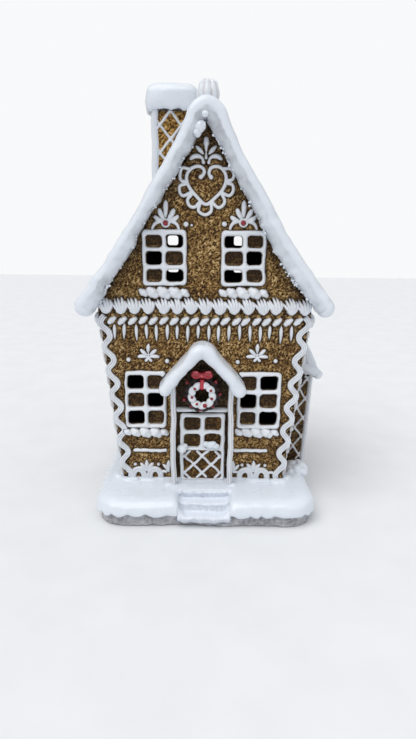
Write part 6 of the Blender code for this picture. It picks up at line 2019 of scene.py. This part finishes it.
# ------------------------------------------------------------ side walls
SIDE_LEN = (EAVE_Z - FLOOR) / math.cos(TAPER)
LEFT_WINDOWS = {
    "left_front": Sash(((-35.6, -25.6), (-22.9, -12.9)), SIDE_ROWS, (-38.0, 34.8, -10.5, 71.0), ODD, seed()),
    "left_back": Sash(((-3.9, 6.1), (8.8, 18.8)), SIDE_ROWS, (-6.3, 34.8, 21.2, 71.0), EVEN, seed()),
}
P2 = 1.0
IP2 = 0.66


def side_wall(sign):
    nm = "right" if sign > 0 else "left"
    lo, hi = (FRONT_Y + 0.05, BACK_Y - 0.05) if sign > 0 else (-BACK_Y + 0.05, -FRONT_Y - 0.05)
    place = side(sign)
    windows = LEFT_WINDOWS if sign < 0 else {}
    row = ROW_V - 8.6
    shells = Piping(blend=0.05, aspect=1.9, wobble=0.16, seed=seed())
    bodies = shell_row(shells, lo + 2.0, hi - 2.0, 9, row, 4.7, 1, 50 + sign)
    leaves, drops = Piping(0.15, 1.25, 0.12, seed()), Piping(0.15, 1.1, 0.1, seed())
    beads = []
    r2 = np.random.default_rng(60 + sign)
    for x in np.linspace(lo + 6.5, hi - 6.5, 12):
        x += r2.normal(0, 0.25)
        z = row - 9.0 + r2.normal(0, 0.2)
        leaves.stroke([(x - 1.5, z - 1.35), (x - 0.2, z - 0.1), (x + 1.5, z + 1.25)], [1.35, 1.85, 1.35])
        beads.append((x + 0.7, z + 2.9, 1.25))
    for x in np.linspace(lo + 7.0, hi - 8.0, 12):
        x += r2.normal(0, 0.3)
        long = 9.2 + r2.normal(0, 0.5)
        t = np.linspace(0, 1, 9)
        rad = 1.22 * np.maximum(0.26, np.sin(PI * (0.06 + 0.90 * t ** 0.8)) ** 0.75) * (1 - 0.25 * t)
        drops.stroke(np.stack([x + 0 * t, row - 11.6 - long * t], 1), rad)
    edge = []
    for s, at_u in ((1, hi), (-1, lo)):
        band = ricrac(s, 1.0, row - 6.6, seed(), phase=6.0, half=lambda z, u=abs(at_u): np.full(np.shape(z), u) + 0.6, mid=3.6,
                      amp=2.1)
        edge.append(band)
    sills, palms = [], []
    for s in windows.values():
        x0, z0, x1, z1 = s.outer
        sills.append(sill(x0 - 1.6, x1 + 1.4, z0 - 4.0, (2.2, 3.0, 3.4, 3.3, 2.3), seed()))
        palms.append(lower_palmette((x0 + x1) / 2, z1 + 5.6, seed(), [((x0 + x1) / 2 - 10.5, z1 + 5.6, 1.3), ((x0 + x1) / 2 + 10.5, z1 + 5.6, 1.3)]))
    if sign > 0:
        # over the lean-to's roof and beside it
        palms.append(lower_palmette(13.0, row - 27.0, seed(), [(2.0, row - 27.0, 1.3), (24.0, row - 27.0, 1.3)]))
        palms.append(lower_palmette(-19.5, 62.0, seed(), []))
        palms.append(lower_palmette(-19.5, 36.0, seed(), []))
    scrolls = []
    if sign < 0:
        scrolls = [scroll(-24.2, -11.0, 1, seed()), scroll(7.4, 20.4, 1, seed())]
        for sc_ in scrolls:
            sc_.strokes = [(p - np.array((0.0, FLOOR - 0.6)), r, a) for p, r, a in sc_.strokes]
    every = [shells, leaves, drops, *edge, *sills, *palms, *scrolls, *windows.values()]
    closed = [b for s in windows.values() for k, b in s.panes(0.3) if k not in s.open]
    open_ = [b for s in windows.values() for k, b in s.panes(-0.15) if k in s.open]

    def dist(u, v):
        d = np.minimum(np.minimum(u - lo, hi - u), np.minimum(v - 0.2, SIDE_LEN - v))
        for b in open_:
            d = np.minimum(d, -rect_d(u, v, *b, 1.8))
        return d

    def paint(u, v):
        _, ridge, tan = bread_height(u, v, closed, beads, 33 + sign)
        # brown antique paint with painted shade where the icing meets the dough
        w = wash_and_shade_of(every, u, v, 1.3) ** 1.4
        # panes darker: darker pane paint with painted shade in the recess
        for b in closed + open_:
            w = np.maximum(w, 0.66 * np.clip(rect_d(u, v, *b, 2.0) * 2 + 1, 0, 1))
        # painted shade under the eaves
        w = np.maximum(w, 0.75 * np.clip(1 - (SIDE_LEN - v) / 5, 0, 1))
        # painted shade along the foot of the wall; the tan beads stay light
        w = np.maximum(w, 0.5 * np.clip(1 - v / 2.5, 0, 1)) * (1 - 0.9 * tan)
        return {"ridge": ridge, "wash": np.clip(w, 0, 1), "tan": tan}
    st = Store()
    relief(st, dist, lambda u, v: bread_height(u, v, closed, beads, 33 + sign)[0], (lo - 1, -1), (hi + 1, SIDE_LEN + 1), P2, place,
           [(0.0, -0.8), (0.0, -WALL_T)], paint)
    st.piece("gingerbread_" + nm, BREAD, ("wall_" + nm,))
    st = Store()
    pipe(st, shells, 0.52, place, body=bodies_height(bodies, 2.2))
    st.piece("shell_border_" + nm, ICE, ("shell_row_" + nm,))
    st = Store()
    for pip in (leaves, drops, *sills, *palms, *edge, *scrolls):
        pipe(st, pip, IP2, place, clip=(lambda u, v: v - 0.1) if pip in scrolls or pip in edge else None)
    st.piece("piping_" + nm, ICE_DIM)
    for key, s in windows.items():
        st = Store()
        pipe(st, s, 0.5, place)
        st.piece("window_" + key + "_icing", ICE, ("window_" + key,))


ROW_V = (128.4 - FLOOR) / math.cos(TAPER)
side_wall(-1)
side_wall(1)

# ------------------------------------------------------------ back wall
BACK_WINDOWS = {
    "back_upper_left": Sash(((-28.2, -20.0), (-17.4, -9.6)), UP_ROWS, (-30.2, 140.4, -7.6, 172.4), ODD, seed(), mirror=True),
    "back_upper_right": Sash(((9.6, 17.4), (20.0, 28.2)), UP_ROWS, (7.6, 140.4, 30.2, 172.4), EVEN, seed(), mirror=True),
    "lower_a": Sash(((-40.2, -30.2), (-27.4, -17.4)), LOW_ROWS, (-42.4, 51.6, -15.2, 88.4), (), seed()),
    "lower_b": Sash(((17.4, 27.4), (30.2, 40.2)), LOW_ROWS, (15.2, 51.6, 42.4, 88.4), (), seed()),
}


def back_wall():
    place = back()
    shells = Piping(blend=0.05, aspect=1.9, wobble=0.16, seed=seed())
    bodies = shell_row(shells, -ROW_HALF + 0.5, ROW_HALF - 0.5, 14, 128.6, 4.7, 1, 71)
    leaves, drops = Piping(0.15, 1.25, 0.12, seed()), Piping(0.15, 1.1, 0.1, seed())
    beads = []
    r2 = np.random.default_rng(72)
    for x in np.linspace(-55.0, 55.0, 19):
        x += r2.normal(0, 0.25)
        leaves.stroke([(x - 1.5, 118.2), (x - 0.2, 119.5), (x + 1.5, 120.8)], [1.35, 1.85, 1.35])
        beads.append((x + 0.7, 122.5, 1.25))
    for x in np.linspace(-53.4, 53.4, 18):
        x += r2.normal(0, 0.3)
        long = 9.2 + r2.normal(0, 0.5)
        t = np.linspace(0, 1, 9)
        rad = 1.22 * np.maximum(0.26, np.sin(PI * (0.06 + 0.90 * t ** 0.8)) ** 0.75) * (1 - 0.25 * t)
        drops.stroke(np.stack([x + 0 * t, 117.0 - long * t], 1), rad)
    bands = [ricrac(s, 18.6, 122.2, seed()) for s in (-1, 1)]
    sills, palms = [], []
    for key, s in BACK_WINDOWS.items():
        (x0, z0), (x1, z1) = s.box()
        x0, z0, x1, z1 = x0 + 1.5, z0 + 1.5, x1 - 1.5, z1 - 1.5
        sills.append(sill(x0 - 1.6, x1 + 1.4, z0 - 4.0, (2.2, 3.0, 3.4, 3.3, 2.3), seed()))
        cx = (x0 + x1) / 2
        palms.append(lower_palmette(cx * (0.93 if z0 > 100 else 1.0), z1 + (6.0 if z0 < 100 else 5.2), seed(), []))
    heart_b = Piping(blend=0.14, aspect=1.2, wobble=0.10, seed=seed())
    heart_b.strokes = [(p.copy(), r, a) for p, r, a in P_HEART.strokes]
    apex = Piping(blend=0.16, aspect=1.05, wobble=0.10, seed=seed())
    apex.strokes = [(p.copy(), r, a) for p, r, a in P_PALM["gable"].strokes]
    bars = Piping(blend=0.3, aspect=1.0, wobble=0.2, seed=seed())
    for a, b in ((-44.0, -20.0), (20.0, 44.0)):
        bars.stroke([(x, 36.5 + 0.1 * math.sin(x)) for x in np.linspace(a, b, 12)], 1.15)
    scrolls = [scroll(-33.0, -19.0, 1, seed()), scroll(33.0, 19.0, -1, seed())]
    flowers = [lower_palmette(0.0, 62.0, seed(), [(-9.0, 62.0, 1.3), (9.0, 62.0, 1.3)]), lower_palmette(0.0, 92.0, seed(), [(-9.0, 92.0, 1.3), (9.0, 92.0, 1.3)])]
    every = [shells, leaves, drops, *bands, *sills, *palms, heart_b, apex, bars, *scrolls, *flowers, *BACK_WINDOWS.values()]
    closed = [b for s in BACK_WINDOWS.values() for k, b in s.panes(0.3) if k not in s.open]
    open_ = [b for s in BACK_WINDOWS.values() for k, b in s.panes(-0.15) if k in s.open]

    def dist(u, v):
        d = wall_outline(u, v)
        for b in open_:
            d = np.minimum(d, -rect_d(u, v, *b, 1.8))
        return d

    def paint(u, v):
        _, ridge, tan = bread_height(u, v, closed, beads, 35)
        # brown antique paint with painted shade where the icing meets the dough
        w = wash_and_shade_of(every, u, v, 1.3) ** 1.4
        # panes darker: darker pane paint with painted shade in the recess
        for b in closed + open_:
            w = np.maximum(w, 0.66 * np.clip(rect_d(u, v, *b, 2.0) * 2 + 1, 0, 1))
        # painted shade under the roof's edge
        w = np.maximum(w, 0.75 * np.clip(1 - gable_d(u, v) / 5, 0, 1))
        # painted shade along the foot of the wall; the tan beads stay light
        w = np.maximum(w, 0.5 * np.clip(1 - (v - FLOOR) / 2.5, 0, 1)) * (1 - 0.9 * tan)
        return {"ridge": ridge, "wash": np.clip(w, 0, 1), "tan": tan}
    st = Store()
    relief(st, dist, lambda u, v: bread_height(u, v, closed, beads, 35)[0], (-66, 16), (66, 232), P2, place, [(0.0, -0.8), (0.0, -WALL_T)], paint)
    st.piece("gingerbread_back", BREAD, ("wall_back",))
    st = Store()
    pipe(st, shells, 0.52, place, body=bodies_height(bodies, 2.3))
    st.piece("shell_border_back", ICE, ("shell_row_back",))
    for nm, b in zip(("left", "right"), bands):
        st = Store()
        pipe(st, b, IP2, place)
        st.piece("corner_ricrac_back_" + nm, ICE_DIM, ("corner_band_back_" + nm,))
    st = Store()
    for pip in (leaves, drops, *sills, *palms, heart_b, apex, bars, *flowers):
        pipe(st, pip, IP2 * 0.85, place, clip=roof_clip)
    for pip in scrolls:
        pipe(st, pip, IP2 * 0.85, place, clip=lambda u, v: v - FLOOR + 0.2)
    st.piece("piping_back", ICE_DIM)
    for key, s in BACK_WINDOWS.items():
        st = Store()
        pipe(st, s, 0.5, place, clip=roof_clip)
        st.piece("window_" + key + "_icing" if key.startswith("back") else "window_back_" + key, ICE,
                 ("window_" + key,) if key.startswith("back") else ())


back_wall()

# inner faces of the walls stay as cast, painted near-black by relief: painted shade for the unlit inside


# ------------------------------------------------------------ stage, light, camera
def stage():
    mesh = bpy.data.meshes.new("floor")
    nx = 25
    bm = bmesh.new()
    size, rows = 4.0, []
    for j in range(nx):
        rows.append([bm.verts.new((size * (i / (nx - 1) - 0.5), size * (j / (nx - 1) - 0.5), -0.0002)) for i in range(nx)])
    for j in range(nx - 1):
        for i in range(nx - 1):
            bm.faces.new((rows[j][i], rows[j][i + 1], rows[j + 1][i + 1], rows[j + 1][i]))
    bm.to_mesh(mesh)
    bm.free()
    p = Paint("floor_paper")
    n = p.noise(30, 2.0)
    col = p.mix(p.remap(n, 0.3, 0.7, 0.0, 1.0), srgb(236, 238, 240), srgb(232, 234, 237))
    mesh.materials.append(p.done(col, 0.8, 0.2))
    ob = bpy.data.objects.new("floor", mesh)
    bpy.context.scene.collection.objects.link(ob)


stage()
scene = bpy.context.scene
world = bpy.data.worlds.new("studio")
scene.world = world
world.use_nodes = True
tree = world.node_tree
bg = tree.nodes["Background"]
bg.inputs["Color"].default_value = (0.95, 0.97, 1.0, 1.0)
bg.inputs["Strength"].default_value = 0.42
back = tree.nodes.new("ShaderNodeBackground")
back.inputs["Color"].default_value = (0.985, 0.99, 1.0, 1.0)
back.inputs["Strength"].default_value = 0.96
seen, both = tree.nodes.new("ShaderNodeLightPath"), tree.nodes.new("ShaderNodeMixShader")
tree.links.new(seen.outputs["Is Camera Ray"], both.inputs[0])
tree.links.new(bg.outputs[0], both.inputs[1])
tree.links.new(back.outputs[0], both.inputs[2])
tree.links.new(both.outputs[0], tree.nodes["World Output"].inputs["Surface"])


def area(name, loc, target, size, power, colour=(1, 1, 1)):
    light = bpy.data.lights.new(name, "AREA")
    light.shape = "RECTANGLE"
    light.size, light.size_y = size
    light.energy = power
    light.color = colour
    ob = bpy.data.objects.new(name, light)
    ob.location = loc
    ob.rotation_euler = (Vector(target) - Vector(loc)).to_track_quat("-Z", "Y").to_euler()
    scene.collection.objects.link(ob)
    return ob


def sun(name, direction, power, angle, colour=(1, 1, 1)):
    light = bpy.data.lights.new(name, "SUN")
    light.energy, light.angle, light.color = power, math.radians(angle), colour
    ob = bpy.data.objects.new(name, light)
    ob.location = Vector(direction) * -1.0
    ob.rotation_euler = Vector(direction).to_track_quat("-Z", "Y").to_euler()
    scene.collection.objects.link(ob)
    return ob


sun("key", (0.42, 0.46, -1.0), 1.5, 50.0, (1.0, 0.985, 0.96))
sun("top", (-0.10, 0.05, -1.0), 0.75, 100.0)
area("fill", (0.75, -0.65, 0.45), (0, 0, 0.12), (0.7, 0.7), 0.45, (0.94, 0.97, 1.0))

cam = bpy.data.cameras.new("camera")
cam.sensor_fit = "VERTICAL"
cam.sensor_height = 36.0
cam.lens = 26.0
cam.clip_start = 0.01
cam.clip_end = 20
cob = bpy.data.objects.new("camera", cam)
scene.collection.objects.link(cob)
cob.matrix_world = (Matrix.Translation((0.0023, -0.351, 0.1687)) @ Matrix.Rotation(math.radians(76.0), 4, "X")
                    @ Matrix.Rotation(math.radians(0.6), 4, "Z"))
scene.camera = cob
scene.view_settings.view_transform = "Standard"
scene.view_settings.look = "None"
